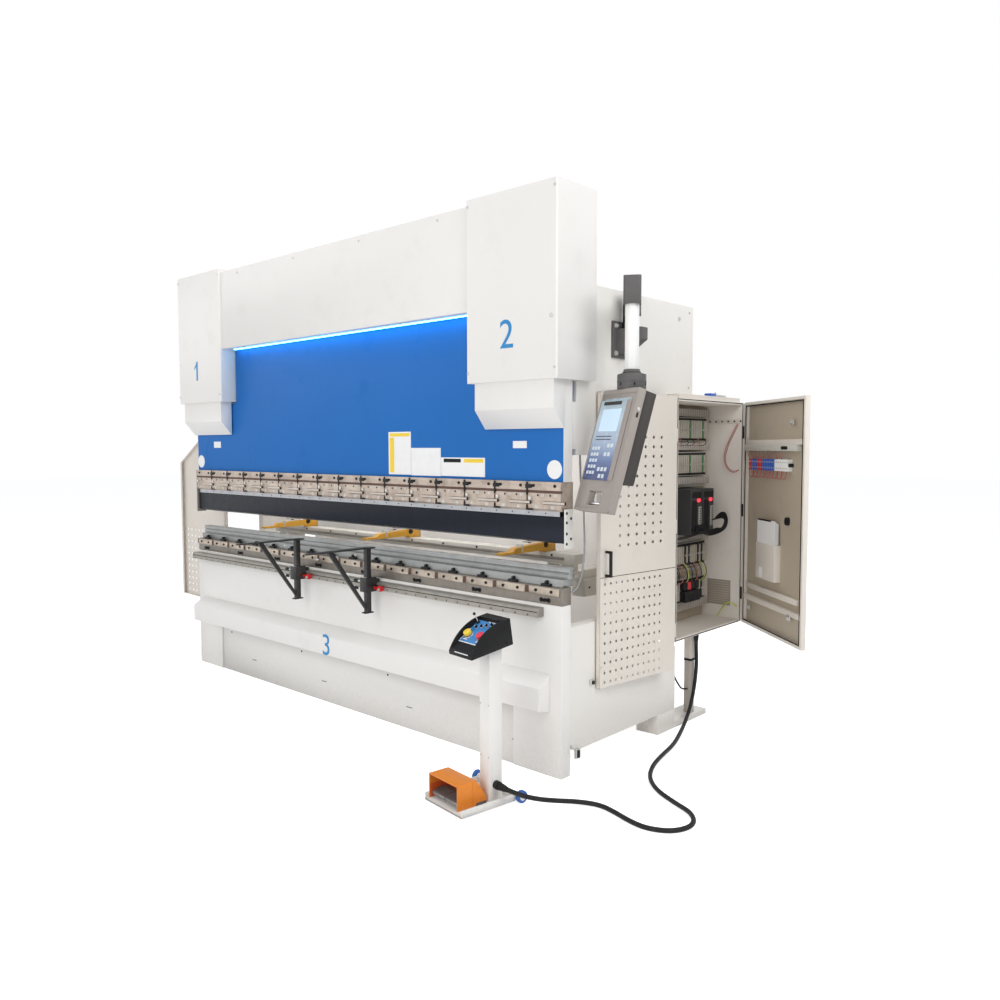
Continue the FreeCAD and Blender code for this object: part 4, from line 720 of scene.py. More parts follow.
# Each lamp: place, aim, size, power
LAMPS = {
    "key": ((1.5, -7.5, 5.0), (0, 0, 1.2), 5.0, 130), "front": ((3.0, -7.0, 1.2), (0.6, 0, 1.1), 4.0, 120),
    "side": ((6.2, -0.4, 5.4), (1, 0.6, 1.6), 4.0, 190), "top": ((0.5, 0.5, 7.5), (0, 0.3, 1.0), 6.0, 130),
    "left": ((-6.5, -4.0, 3.5), (-1, 0, 1.2), 4.0, 70), "rear": ((0.0, 8.0, 4.5), (0, 0, 1.2), 6.0, 120),
    "throat": ((0.0, 0.22, 1.66), (0, 0.80, 1.05), 2.4, 13),
}
THROAT_LAMP_DEEP = 0.16
WARM_LIGHT = (1.0, 0.95, 0.90)
SURROUND_STRENGTH = 0.42
FLOOR_GLOW = 0.62


class BRAKE_OT_stage(bpy.types.Operator):
    """Builds the pale floor, the white surround and the soft studio light"""

    bl_idname = "brake.stage"
    bl_label = "Stage"

    def execute(self, context):
        scene = context.scene
        colours = scene.brake_colours
        strength = scene.brake_sizes.light_strength
        self.floor(scene, colours)
        self.surround(scene, colours)
        for name, (at, aim, size, power) in LAMPS.items():
            lamp = bpy.data.lights.new(name, "AREA")
            lamp.size = size
            if name == "throat":
                lamp.shape = "RECTANGLE"
                lamp.size_y = THROAT_LAMP_DEEP
            if name in ("front", "throat"):
                lamp.color = WARM_LIGHT
            lamp.energy = power * strength
            holder = bpy.data.objects.new(name, lamp)
            scene.collection.objects.link(holder)
            holder.visible_camera = False
            holder.location = at
            holder.rotation_euler = (Vector(aim) - Vector(at)).to_track_quat("-Z", "Y").to_euler()
        return {"FINISHED"}

    def floor(self, scene, colours):
        part = bmesh.new()
        bmesh.ops.create_grid(part, x_segments=1, y_segments=1, size=40)
        data = bpy.data.meshes.new("floor")
        part.to_mesh(data)
        part.free()
        floor = bpy.data.objects.new("floor", data)
        scene.collection.objects.link(floor)
        made = bpy.data.materials.new("floor")
        made.use_nodes = True
        tree = made.node_tree
        shader = tree.nodes["Principled BSDF"]
        shader.inputs["Base Color"].default_value = colours.floor
        shader.inputs["Roughness"].default_value = 0.9
        shader.inputs["Specular IOR Level"].default_value = 0.0
        glow = tree.nodes.new("ShaderNodeEmission")
        glow.inputs["Strength"].default_value = FLOOR_GLOW
        both = tree.nodes.new("ShaderNodeAddShader")
        tree.links.new(shader.outputs[0], both.inputs[0])
        tree.links.new(glow.outputs[0], both.inputs[1])
        pick = tree.nodes.new("ShaderNodeMixShader")
        tree.links.new(self.seen(tree), pick.inputs[0])
        tree.links.new(shader.outputs[0], pick.inputs[1])
        tree.links.new(both.outputs[0], pick.inputs[2])
        tree.links.new(pick.outputs[0], tree.nodes["Material Output"].inputs["Surface"])
        data.materials.append(made)

    def seen(self, tree):
        """One where the ray comes from the camera, a reflection or a clear piece."""
        path = tree.nodes.new("ShaderNodeLightPath")
        seen = math_node(tree, "MAXIMUM", path.outputs["Is Camera Ray"], path.outputs["Is Glossy Ray"])
        return math_node(tree, "MAXIMUM", seen, path.outputs["Is Transmission Ray"])

    def surround(self, scene, colours):
        world = bpy.data.worlds.new("surround")
        scene.world = world
        world.use_nodes = True
        tree = world.node_tree
        tree.nodes.clear()
        out = tree.nodes.new("ShaderNodeOutputWorld")
        lit = tree.nodes.new("ShaderNodeBackground")
        lit.inputs["Color"].default_value = colours.sky
        lit.inputs["Strength"].default_value = SURROUND_STRENGTH
        shown = tree.nodes.new("ShaderNodeBackground")
        shown.inputs["Color"].default_value = (1, 1, 1, 1)
        pick = tree.nodes.new("ShaderNodeMixShader")
        tree.links.new(self.seen(tree), pick.inputs[0])
        tree.links.new(lit.outputs[0], pick.inputs[1])
        tree.links.new(shown.outputs[0], pick.inputs[2])
        tree.links.new(pick.outputs[0], out.inputs["Surface"])


class BRAKE_OT_finishes(bpy.types.Operator):
    """Gives every CAD node its finish and softens its edges"""

    bl_idname = "brake.finishes"
    bl_label = "Finishes"

    def execute(self, context):
        make_finishes()
        for node, (material, width) in NODE_FINISHES.items():
            piece = NODES[node]
            piece.data.materials.clear()
            piece.data.materials.append(bpy.data.materials[material])
            soften(piece, width)
        return {"FINISHED"}


class BRAKE_OT_ram(bpy.types.Operator):
    """Fits the light strip, the bare sign plates and the end plates on the ram"""

    bl_idname = "brake.ram"
    bl_label = "Ram Dressing"

    def execute(self, context):
        low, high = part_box("ram_plate")
        strip_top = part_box("beam_cover")[0].z + 0.003
        strip = Piece("ram_light_strip", "light strip", "tube white")
        strip.box((-1.06, -0.030, strip_top - 0.007), (1.04, -0.014, strip_top))
        strip.box((-1.07, -0.034, strip_top), (1.07, -0.010, strip_top + 0.013), 1, 0.001)
        strip.done("frame")
        signs = Piece("ram_sign_plates", "paper white", "sign yellow", "seal black")
        face = low.y
        for left, right, bottom, top in SIGN_PLATES:
            signs.box((left, face - 0.0012, bottom), (right, face + 0.0004, top), 0, 0.0004, 1)
        for at_x, at_z, radius in ROUND_SIGNS:
            signs.add(drum((at_x, face - 0.0012, at_z), "y", radius, 0.0016, 32))
        for left, right, bottom, top, tone in SIGN_BANDS:
            signs.box((left, face - 0.0016, bottom), (right, face - 0.0008, top), tone)
        signs.done("ram")
        ends = Piece("ram_end_plates", "cover white", "rail steel", "frame white", "seal black")
        for side, front, back, bottom, top, tone in END_PLATES:
            near, far = side * (high.x + 0.0024), side * (high.x + 0.0084)
            ends.box((side * high.x, low.y, low.z), (near, high.y - 0.001, high.z))
            ends.box((near, front, bottom), (far, back, top), tone, 0.0008)
            for at_y, share in END_PLATE_HOLES:
                level = bottom + share * (top - bottom)
                ends.add(drum((far - 0.0006, at_y, level), "x", 0.0068, 0.0012, 14), 3)
        ends.done("ram")
        return {"FINISHED"}


# Bare plates on the ram: left, right, bottom, top
SIGN_PLATES = [
    (-1.384, -1.296, 1.487, 1.528), (1.302, 1.386, 1.485, 1.518),
    (0.421, 0.597, 1.347, 1.570), (0.599, 0.820, 1.345, 1.486), (0.822, 1.124, 1.347, 1.439),
]
ROUND_SIGNS = [(1.548, 1.390, 0.042), (-1.556, 1.394, 0.042)]
# Coloured bands on them: left, right, bottom, top, material
SIGN_BANDS = [
    (0.431, 0.587, 1.546, 1.563, 1), (0.431, 0.466, 1.357, 1.540, 1),
    (0.842, 0.962, 1.415, 1.433, 2), (0.985, 1.114, 1.415, 1.433, 1),
]
# Plates on the ends of the clamp row: side, front, back, bottom, top, material
END_PLATES = [(-1, -0.014, 0.050, 1.050, 1.335, 1), (1, 0.002, 0.062, 1.040, 1.215, 2)]
# Their holes: place along Y and share of the height
END_PLATE_HOLES = [
    (0.014, 0.90), (0.014, 0.66), (0.014, 0.38), (0.014, 0.12), (0.044, 0.76), (0.044, 0.24),
]


class BRAKE_OT_clamps(bpy.types.Operator):
    """Fits screws, wedge bolts and stop blocks on the row of tool clamps"""

    bl_idname = "brake.clamps"
    bl_label = "Clamp Row"

    def execute(self, context):
        sizes = context.scene.brake_sizes
        low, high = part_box("tool_clamps")
        lever_low, lever_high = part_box("clamp_levers")
        face = low.y
        count = sizes.clamps
        screws = Piece("clamp_screws", "black plastic", "zinc")
        stops = Piece("clamp_stops_and_painted_shade", "black plastic", "shadow brown")
        for number in range(count):
            start = CLAMP_PITCH * (number - count / 2)
            for along in (0.038, 0.162):
                screws.add(screw((start + along, face, high.z - 0.018), sizes.clamp_screw))
            for along in (0.064, 0.136):
                screws.add(drum((start + along, face - 0.0006, high.z - 0.061), "y", 0.0048, 0.0016, 14))
            for along in (0.091, 0.166):
                screws.add(ring((start + along, face, high.z - 0.061), "y", 0.0058, 0.0016, 16, 6), 1)
            for along in (0.055, 0.150):
                screws.add(ring((start + along, face, low.z + 0.018), "y", 0.0085, 0.0012, 18, 6), 1)
                screws.add(screw((start + along, face + 0.001, low.z + 0.018), 0.0072, 0.003), 1)
            wedge = (start + 0.019, face - 0.0060, low.z + 0.056)
            screws.add(drum(wedge, "y", 0.0080, 0.0065, 18, 0.0012), 1)
            lever = start + 0.099
            # painted shade: a dark plate a little larger than each lever stands for the shade under and
            # around it
            stops.box((lever - 0.002, face - 0.0010, lever_low.z - 0.0024),
                      (lever + 0.1255, face + 0.0004, lever_high.z + 0.0014))
            stops.box((lever + 0.1235, lever_low.y - 0.0006, lever_low.z - 0.0008),
                      (lever + 0.1265, face, lever_high.z + 0.0008), 0, 0.0006, 1)
            if not number:
                continue
            for left, right, out, bottom, top in (
                    (0.0090, 0.0290, 0.004, high.z - 0.030, high.z - 0.012),
                    (0.0050, 0.0060, 0.002, high.z - 0.060, high.z - 0.003),
                    (0.0050, 0.0300, 0.003, low.z + 0.001, low.z + 0.010),
                    (0.0050, 0.0060, 0.002, low.z + 0.001, low.z + 0.022)):
                stops.box((start - left, face - out, bottom), (start + right, face + 0.012, top), 0, 0.0008)
            # painted shade: a dark brown fill in the slot between neighbouring clamps
            stops.box((start - 0.0044, face + 0.010, low.z), (start + 0.0044, face + 0.03, high.z), 1)
        # painted shade: a dark brown strip laid inside the clamps' groove
        stops.box((-1.599, face + 0.0030, 1.2845), (1.599, face + 0.0042, 1.2955), 1)
        screws.done("ram")
        stops.done("ram")
        strip = Piece("punch_adapter_face", "adapter steel", "black plastic")
        strip.box((-1.580, -0.0026, low.z - 0.0226), (1.580, -0.0014, low.z - 0.0004))
        for number in range(2 * count - 1):
            along = CLAMP_PITCH / 2 * (number + 1 - count)
            strip.add(drum((along, -0.0030, low.z - 0.011), "y", 0.0036, 0.001, 12), 1)
        strip.done("ram")
        return {"FINISHED"}


class BRAKE_OT_dies(bpy.types.Operator):
    """Fits the T-bolts, plate screws and key slots along the die row and the front rail"""

    bl_idname = "brake.dies"
    bl_label = "Die Row"

    def execute(self, context):
        sizes = context.scene.brake_sizes
        plate_low, plate_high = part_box("die_clamp_plates")
        base_low, base_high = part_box("crowning_base")
        holder_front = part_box("die_holder")[0].y
        rail_low, rail_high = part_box("front_rail")
        count = sizes.clamps
        bolts = Piece("die_clamp_bolts", "black plastic", "shadow brown")
        for number in range(count):
            start = CLAMP_PITCH * (number - count / 2)
            for along in (0.055, 0.145):
                bolts.add(screw((start + along, plate_low.y, (plate_low.z + plate_high.z) / 2),
                                sizes.plate_screw))
            # painted shade: a dark brown strip in the gap between neighbouring die plates
            bolts.box((start - 0.009, base_low.y - 0.002, plate_low.z),
                      (start + 0.009, base_low.y + 0.001, plate_high.z), 1)
            middle = start + 0.1
            bolts.box((middle - 0.026, base_low.y + 0.002, base_high.z),
                      (middle + 0.026, holder_front, base_high.z + 0.012), 0, 0.002)
            nut = (middle, (base_low.y + holder_front) / 2, base_high.z + 0.012)
            bolts.add(drum(nut, "z", 0.008, 0.012, 6, 0.0008))
            stem = (middle, holder_front - 0.010, base_high.z + 0.020)
            bolts.add(drum(stem, "y", 0.007, 0.012, 12, 0.0008))
        slot_face, slot_level = base_low.y - 0.0012, 0.803
        for number in range(8):
            at = 1.5025 - 0.4277 * number
            for shift in (-0.022, 0.022):
                bolts.add(drum((at + shift, slot_face, slot_level), "y", 0.011, 0.002, 16))
            bolts.box((at - 0.022, slot_face, slot_level - 0.006),
                      (at + 0.022, base_low.y + 0.001, slot_level + 0.006))
            bolts.add(screw((at, base_low.y - 0.002, slot_level), 0.009, 0.006))
        bolts.done("frame")
        rail = Piece("front_rail_screws", "seal black")
        steps = int((rail_high.x - rail_low.x) / 0.075)
        for number in range(steps):
            at = rail_low.x + 0.04 + 0.075 * number
            rail.add(drum((at, rail_low.y - 0.0001, rail_low.z + 0.008), "y", 0.0042, 0.0011, 12))
        rail.done("frame")
        groove = Piece("front_rail_groove", "seal black")
        groove.box((rail_low.x + 0.001, rail_low.y - 0.0008, rail_high.z - 0.020),
                   (rail_high.x - 0.001, rail_low.y + 0.0002, rail_high.z - 0.0165))
        groove.done("frame")
        return {"FINISHED"}


class BRAKE_OT_bed(bpy.types.Operator):
    """Fits seams, slots, screws and latch blocks on the bed, the belly and the lower cover"""

    bl_idname = "brake.bed"
    bl_label = "Bed Front"

    def execute(self, context):
        height = context.scene.brake_sizes.figure_height
        belly_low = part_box("belly_cover")[0]
        cover_low, cover_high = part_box("bed_lower_cover")
        seams = Piece("bed_seams", "seal black")
        seams.box((cover_low.x + 0.01, cover_low.y - 0.0006, cover_high.z - 0.002),
                  (cover_high.x - 0.01, cover_low.y + 0.001, cover_high.z - 0.0005))
        for at in (-0.95, -0.2, 0.55, 1.3):
            seams.box((at, cover_low.y - 0.0006, cover_low.z + 0.115),
                      (at + 0.045, cover_low.y + 0.0006, cover_low.z + 0.119))
        for at in (-1.2, -0.4, 0.4, 1.2):
            seams.add(screw((at, cover_low.y, cover_high.z - 0.03), 0.0055, 0.002))
        seams.done("frame")
        numeral = Piece("belly_figure", "figure blue")
        numeral.add(figure("3", height * 0.94, 0.001),
                    place=Matrix.Translation((-0.03, belly_low.y - 0.0002, belly_low.z + 0.069)))
        numeral.done("frame")
        latches = Piece("frame_latch_blocks", "black plastic", "zinc")
        for side in (-1, 1):
            face = side * high_x("side_frame_right")
            block, catch = face + side * 0.014, face + side * 0.022
            for at, level, tall in ((0.201, 0.388, 0.026), (0.090, 0.072, 0.044)):
                latches.box((face, at - 0.008, level), (block, at + 0.022, level + tall), 1, 0.002)
                latches.box((face, at - 0.004, level + 0.006),
                            (catch, at + 0.010, level + tall - 0.003), 0, 0.002)
        latches.done("frame")
        return {"FINISHED"}


SUPPORTS_AT = {"left": -0.295, "right": 0.352}
GAUGE_RAIL_AT = 1.21


class BRAKE_OT_supports(bpy.types.Operator):
    """Fits worn top rails, clamping handles and knob hubs on the two sheet supports"""

    bl_idname = "brake.supports"
    bl_label = "Sheet Supports"

    def execute(self, context):
        for side in ("left", "right"):
            low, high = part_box(f"support_arm_{side}")
            knob_low, knob_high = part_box(f"support_knob_{side}")
            middle = SUPPORTS_AT[side]
            front = low.y
            piece = Piece(f"support_fittings_{side}", "lever steel", "black plastic", "zinc")
            piece.box((middle - 0.0065, front + 0.018, high.z - 0.0012),
                      (middle + 0.0065, high.y - 0.075, high.z - 0.0002), 0, 0.0004, 1)
            for along in (0.07, 0.19, 0.31):
                piece.add(drum((middle - 0.006, front + along, high.z - 0.034), "x", 0.0046, 0.012, 12), 2)
            for end, height in ((middle - 0.064, 0.735), (middle - 0.068, 0.775)):
                piece.add(drum((end, -0.110, height), "x", 0.0045, 0.036, 12, 0.0008), 2)
                piece.add(drum((end - 0.026, -0.110, height), "x", 0.0095, 0.030, 16, 0.002, 0.007), 1)
            hub = (knob_high.x - 0.0012, -0.093, (knob_low.z + knob_high.z) / 2)
            piece.add(drum(hub, "x", 0.0075, 0.0022, 18, 0.0005), 2)
            piece.box((middle - 0.014, -0.126, 0.7965), (middle + 0.014, -0.066, 0.8005), 0, 0.001)
            piece.done(f"support_{side}")
        return {"FINISHED"}


class BRAKE_OT_gauge(bpy.types.Operator):
    """Fits rods and knobs on the gauge fingers, strips on the beam and covers over the drives"""

    bl_idname = "brake.gauge"
    bl_label = "Back Gauge"

    def execute(self, context):
        beam_low, beam_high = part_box("gauge_beam")
        rods = Piece("gauge_finger_fittings", "zinc", "black plastic", "gauge grey")
        for number in range(3):
            at = -0.970 + 1.045 * number
            for shift in (-0.010, 0.010):
                rods.add(drum((at + shift, 0.29, 1.012), "y", 0.0035, 0.20, 12), 0)
            rods.box((at - 0.022, 0.47, 0.998), (at + 0.022, 0.512, 1.024), 2, 0.002)
            rods.add(drum((at, 0.440, 0.988), "x", 0.016, 0.024, 20, 0.003), 1)
            rods.add(drum((at, 0.33, 1.003), "z", 0.009, 0.016, 16, 0.0015), 1)
            rods.box((at - 0.0205, 0.25, 0.966), (at + 0.0205, 0.262, 1.004), 0, 0.001)
        rods.done("back_gauge")
        beam = Piece("gauge_beam_fittings", "rail steel", "black plastic")
        beam.box((beam_low.x + 0.06, beam_low.y - 0.0008, 0.918),
                 (beam_high.x - 0.06, beam_low.y + 0.006, 0.932), 0, 0.001)
        for number in range(10):
            at = -1.2 + 0.266 * number
            beam.add(screw((at, beam_low.y, 0.940), 0.006, 0.004), 1)
        rails = Piece("gauge_drive_cover", "gauge grey", "seal black")
        for side in (-1, 1):
            rail = side * GAUGE_RAIL_AT
            beam.box((rail - 0.034, beam_low.y - 0.0088, 0.862), (rail + 0.034, beam_low.y, 0.896), 0, 0.002)
            rails.box((rail - 0.045, 0.62, 0.70), (rail + 0.045, 0.90, 0.799), 0, 0.012, 3)
            for at in (0.66, 0.76, 0.86):
                rails.add(screw((rail + side * 0.045, at, 0.75), 0.006, 0.003, "x", side), 1)
        beam.done("back_gauge")
        rails.done("frame")
        return {"FINISHED"}


GUARD_SHEET = 0.0015
GUARD_FOLD = 0.0022


def door_rim(piece, back, front, low, high, deep, sheet):
    """Folded edges all round a door that lies in the YZ plane, deep along X."""
    for start, end in ((back, back + sheet), (front - sheet, front)):
        piece.box((deep[0], start, low), (deep[1], end, high))
    for start, end in ((low, low + sheet), (high - sheet, high)):
        piece.box((deep[0], back, start), (deep[1], front, end))


class BRAKE_OT_guards(bpy.types.Operator):
    """Builds the two perforated side guards with their folded edges and screws"""

    bl_idname = "brake.guards"
    bl_label = "Side Guards"

    def execute(self, context):
        self.right(context)
        self.left(context)
        return {"FINISHED"}

    def right(self, context):
        sizes = context.scene.brake_sizes
        low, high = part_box("guard_door_right")
        place = joint_place("guard_right_hinge", low.z)
        tall = high.z - low.z
        sheet = Piece("guard_sheet_right", "cabinet beige", "seal black")
        front, back, face = -0.564, -0.010, 0.0110
        pitch, hole = sizes.guard_pitch, sizes.guard_hole
        low_field, high_field = -0.550, -0.4592
        first, second = 0.0008, 0.637
        sheet.add(perforated(low_field, first, 11, 11, 0.0400, pitch, hole * 0.82, face, GUARD_SHEET))
        sheet.add(perforated(high_field, second, 6, 12, 0.0604, pitch, hole, face, GUARD_SHEET))
        lower_top, upper_top = first + 11 * pitch, second + 12 * pitch
        for start, bottom, end, top in (
                (front, 0.0, low_field, lower_top), (low_field + 11 * 0.0400, 0.0, back, lower_top),
                (front, lower_top, back, second), (front, second, high_field, upper_top),
                (high_field + 6 * 0.0604, second, back, upper_top), (front, upper_top, back, tall)):
            sheet.box((face - GUARD_SHEET, start, bottom), (face, end, top))
        door_rim(sheet, front, back, 0.0, tall, (-0.0125, face + 0.0004), GUARD_FOLD)
        for start, end in ((front, front + 0.016), (back - 0.016, back)):
            sheet.box((-0.0125, start, 0.0), (-0.0105, end, tall))
        sheet.box((face - 0.0004, front, 0.517), (face + 0.0006, back, 0.5195), 1)
        for level in (0.03, 0.52, tall - 0.03):
            sheet.box((-0.0125, front, level - 0.012), (-0.0105, back, level + 0.012))
        sheet.done("guard_right", place=place, replaces=["guard_door_right"])
        screws = Piece("guard_screws_right", "zinc")
        for level in (0.10, 1.25):
            screws.add(screw((face, -0.555, level), 0.005, 0.003, "x", 1))
        screws.done("guard_right", place=place)

    def left(self, context):
        sizes = context.scene.brake_sizes
        low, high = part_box("guard_door_left")
        place = joint_place("guard_left_hinge", low.z)
        hinge = JOINTS["guard_left_hinge"]["pos_m"][0]
        lean = math.radians(-90 - DRAWN_AT["guard_left_hinge"])
        front = -(hinge - low.x - 0.0125 * math.sin(lean)) / math.cos(lean)
        back, tall, drop = -0.010, high.z - low.z, 0.372
        pitch = sizes.guard_pitch
        sheet = Piece("guard_sheet_left", "cabinet beige", "seal black")
        face = -0.0110
        columns = int((-front - 0.10) / 0.060)
        start = front + 0.035
        field_top = 0.0125 + 11 * pitch
        front_face = face + GUARD_SHEET
        sheet.add(perforated(start, 0.0125, columns, 11, 0.060, pitch, sizes.guard_hole, front_face,
                             GUARD_SHEET))
        end = start + columns * 0.060
        slope = drop / (-front + back)
        short = tall - drop
        for outline in (
                [(front, 0.0), (back, 0.0), (back, 0.0125), (front, 0.0125)],
                [(front, 0.0125), (start, 0.0125), (start, field_top), (front, field_top)],
                [(end, 0.0125), (back, 0.0125), (back, field_top), (end, field_top)],
                [(front, field_top), (back, field_top), (back, tall), (front, short)]):
            sheet.add(slab(outline, "yz", face, front_face))
        inner, outer = front + GUARD_FOLD, back - GUARD_FOLD
        for outline in (
                [(front, 0.0), (inner, 0.0), (inner, short + GUARD_FOLD * slope), (front, short)],
                [(outer, 0.0), (back, 0.0), (back, tall), (outer, tall)],
                [(front, 0.0), (back, 0.0), (back, GUARD_FOLD), (front, GUARD_FOLD)],
                [(front, short - GUARD_FOLD), (back, tall - GUARD_FOLD), (back, tall), (front, short)]):
            sheet.add(slab(outline, "yz", face, 0.0125))
        sheet.box((0.0105, front, 0.0), (0.0125, front + 0.02, short))
        sheet.box((0.0105, back - 0.02, 0.0), (0.0125, back, tall - 0.02))
        sheet.box((face - 0.0005, front, 0.5300), (face + 0.0004, back, 0.5325), 1)
        sheet.done("guard_left", place=place, replaces=["guard_door_left"])


# The materials of the modules on the cabinet's rails, in turn
UPPER_TONES = (0, 5, 0, 5, 1, 5, 0)
LOWER_TONES = (5, 0, 3, 5, 3, 0, 5)
# Fronts on each drive: left, right, bottom, top, face, material
DRIVE_FRONTS = [
    (0.012, 0.106, 1.215, 1.246, 1.604, 3), (0.066, 0.092, 1.191, 1.208, 1.6055, 6),
    (0.010, 0.062, 1.030, 1.200, 1.603, 3), (0.080, 0.106, 1.055, 1.165, 1.606, 0),
]


class BRAKE_OT_cabinet(bpy.types.Operator):
    """Fits the wiring ducts, drives, contactors, terminals and wires inside the open cabinet"""

    bl_idname = "brake.cabinet"
    bl_label = "Cabinet"

    def execute(self, context):
        self.inside()
        self.wires()
        self.outside()
        return {"FINISHED"}

    def inside(self):
        ducts = Piece("duct_slots", "panel taupe")
        for level in (1.656, 1.472, 1.282, 0.962, 0.582):
            for number in range(25):
                at = 0.856 + 0.025 * number
                ducts.box((1.4996, at, level + 0.006), (1.5006, at + 0.008, level + 0.036))
        ducts.done("frame")
        rows = Piece("terminal_rows", "module grey", "module green", "terminal red", "black plastic", "zinc",
                     "cabinet inside", "lamp red")
        for level, tones in ((1.520, UPPER_TONES), (1.330, UPPER_TONES), (0.830, LOWER_TONES),
                             (0.630, LOWER_TONES)):
            rows.box((1.511, 0.851, level + 0.004), (1.5135, 1.409, level + 0.126), 3)
            for number in range(28):
                at = 0.852 + 0.0199 * number
                tone = tones[number % len(tones)]
                rows.box((1.512, at, level + 0.016), (1.526, at + 0.0145, level + 0.114), tone, 0.0012, 1)
                rows.box((1.5255, at + 0.003, level + 0.058), (1.5275, at + 0.011, level + 0.068), 4)
        for at in (1.100, 1.230):
            for left, right, bottom, top, face, tone in DRIVE_FRONTS:
                rows.box((1.599, at + left, bottom), (face, at + right, top), tone, 0.001, 1)
            for pin in range(8):
                level = 1.060 + 0.013 * pin
                rows.box((1.6055, at + 0.084, level), (1.6064, at + 0.102, level + 0.006), 3)
        for number in range(4):
            at = 1.120 + 0.042 * number
            rows.box((1.526, at, 0.705), (1.556, at + 0.034, 0.748), 2 if number == 1 else 3, 0.003, 1)
            rows.box((1.526, at, 0.640), (1.564, at + 0.036, 0.700), 3, 0.003, 1)
        for level in (0.787, 1.2635):
            rows.box((1.450, 0.846, level), (1.462, 1.478, level + 0.015), 4, 0.001, 1)
        rows.done("frame")
        lining = Piece("cabinet_lining", "cabinet inside", "cabinet beige", "seal black", "panel taupe")
        # painted shade: the back wall takes the darker inside copy of the cabinet's beige
        lining.box((1.4495, 0.822, 0.514), (1.4512, 1.498, 1.718))
        lining.box((1.456, 1.4968, 1.620), (1.682, 1.5004, 1.644), 1, 0.0008, 1)
        for number in range(6):
            lining.add(drum((1.491 + 0.0377 * number, 1.4960, 1.632), "y", 0.0052, 0.001, 14), 2)
        lining.box((1.488, 1.4975, 0.583), (1.632, 1.5004, 0.727), 3, 0.001, 1)
        for number in range(10):
            level = 0.592 + 0.0133 * number
            lining.box((1.496, 1.4966, level), (1.624, 1.4980, level + 0.007))
        lining.done("frame")

    def wires(self):
        wires = Piece("cabinet_wires", "lead black", "wire red", "wire green")
        for number in range(16):
            at = 0.870 + 0.032 * number
            reach = 1.552 + 0.005 * (number % 3)
            loop = [(1.527, at, 0.735), (reach, at, 0.750), (reach + 0.006, at + 0.008, 0.790),
                    (reach - 0.006, at + 0.004, 0.835), (1.527, at, 0.852)]
            wires.add(bent_rod(loop, 0.0022, 6, 4), (0, 0, 1, 0, 2)[number % 5])
            if number % 2:
                drop = [(1.527, at, 1.535), (1.542, at, 1.524), (1.546, at + 0.006, 1.508),
                        (1.530, at, 1.496), (1.500, at, 1.495)]
                wires.add(bent_rod(drop, 0.0018, 6, 3), (0, 1, 0)[number % 3])
        for number in range(6):
            lift, out = 0.006 * number, 0.004 * (number % 3)
            right = [
                (1.605, 1.150 + 0.013 * number, 1.068), (1.622 + out, 1.160 + 0.013 * number, 1.040),
                (1.634, 1.220 + 0.012 * number, 1.004 + lift), (1.640 - out, 1.330, 1.012 + lift),
                (1.640 - out, 1.420 - lift, 1.032), (1.636, 1.450 - lift, 1.080),
                (1.628, 1.432 - lift, 1.124 - lift), (1.616, 1.385, 1.122 - lift),
                (1.605, 1.346 - 0.004 * number, 1.085)]
            wires.add(bent_rod(right, 0.0034, 8, 5))
            left = [
                (1.605, 1.120 + 0.026 * number, 1.056), (1.624 + out, 1.100 + 0.024 * number, 1.026),
                (1.626 + out, 1.020 + 0.020 * number, 1.006 + lift), (1.590, 0.950 + 0.016 * number, 1.004),
                (1.520, 0.930 + 0.016 * number, 0.996), (1.496, 0.930 + 0.016 * number, 0.990)]
            wires.add(bent_rod(left, 0.0042, 8, 5))
        for number in range(2):
            shift = 0.006 * number
            upper = [
                (1.668 - shift, 1.494 - shift, 1.615), (1.640 - shift, 1.493 - shift, 1.560),
                (1.612 - shift, 1.492 - shift, 1.505), (1.588 - shift, 1.491 - shift, 1.425),
                (1.606, 1.490 - shift, 1.372 - shift), (1.648, 1.488 - shift, 1.344 - shift),
                (1.679, 1.488 - shift, 1.362 - shift)]
            wires.add(bent_rod(upper, 0.0018, 8, 6), 1)
            lower = [
                (1.560 + shift, 1.484 - shift, 0.520), (1.586, 1.488 - shift, 0.566 + shift),
                (1.622, 1.486 - shift, 0.602 + shift), (1.650, 1.484 - shift, 0.606),
                (1.679, 1.486, 0.588 - shift)]
            wires.add(bent_rod(lower, 0.0024, 8, 6), 2)
        wires.done("frame")

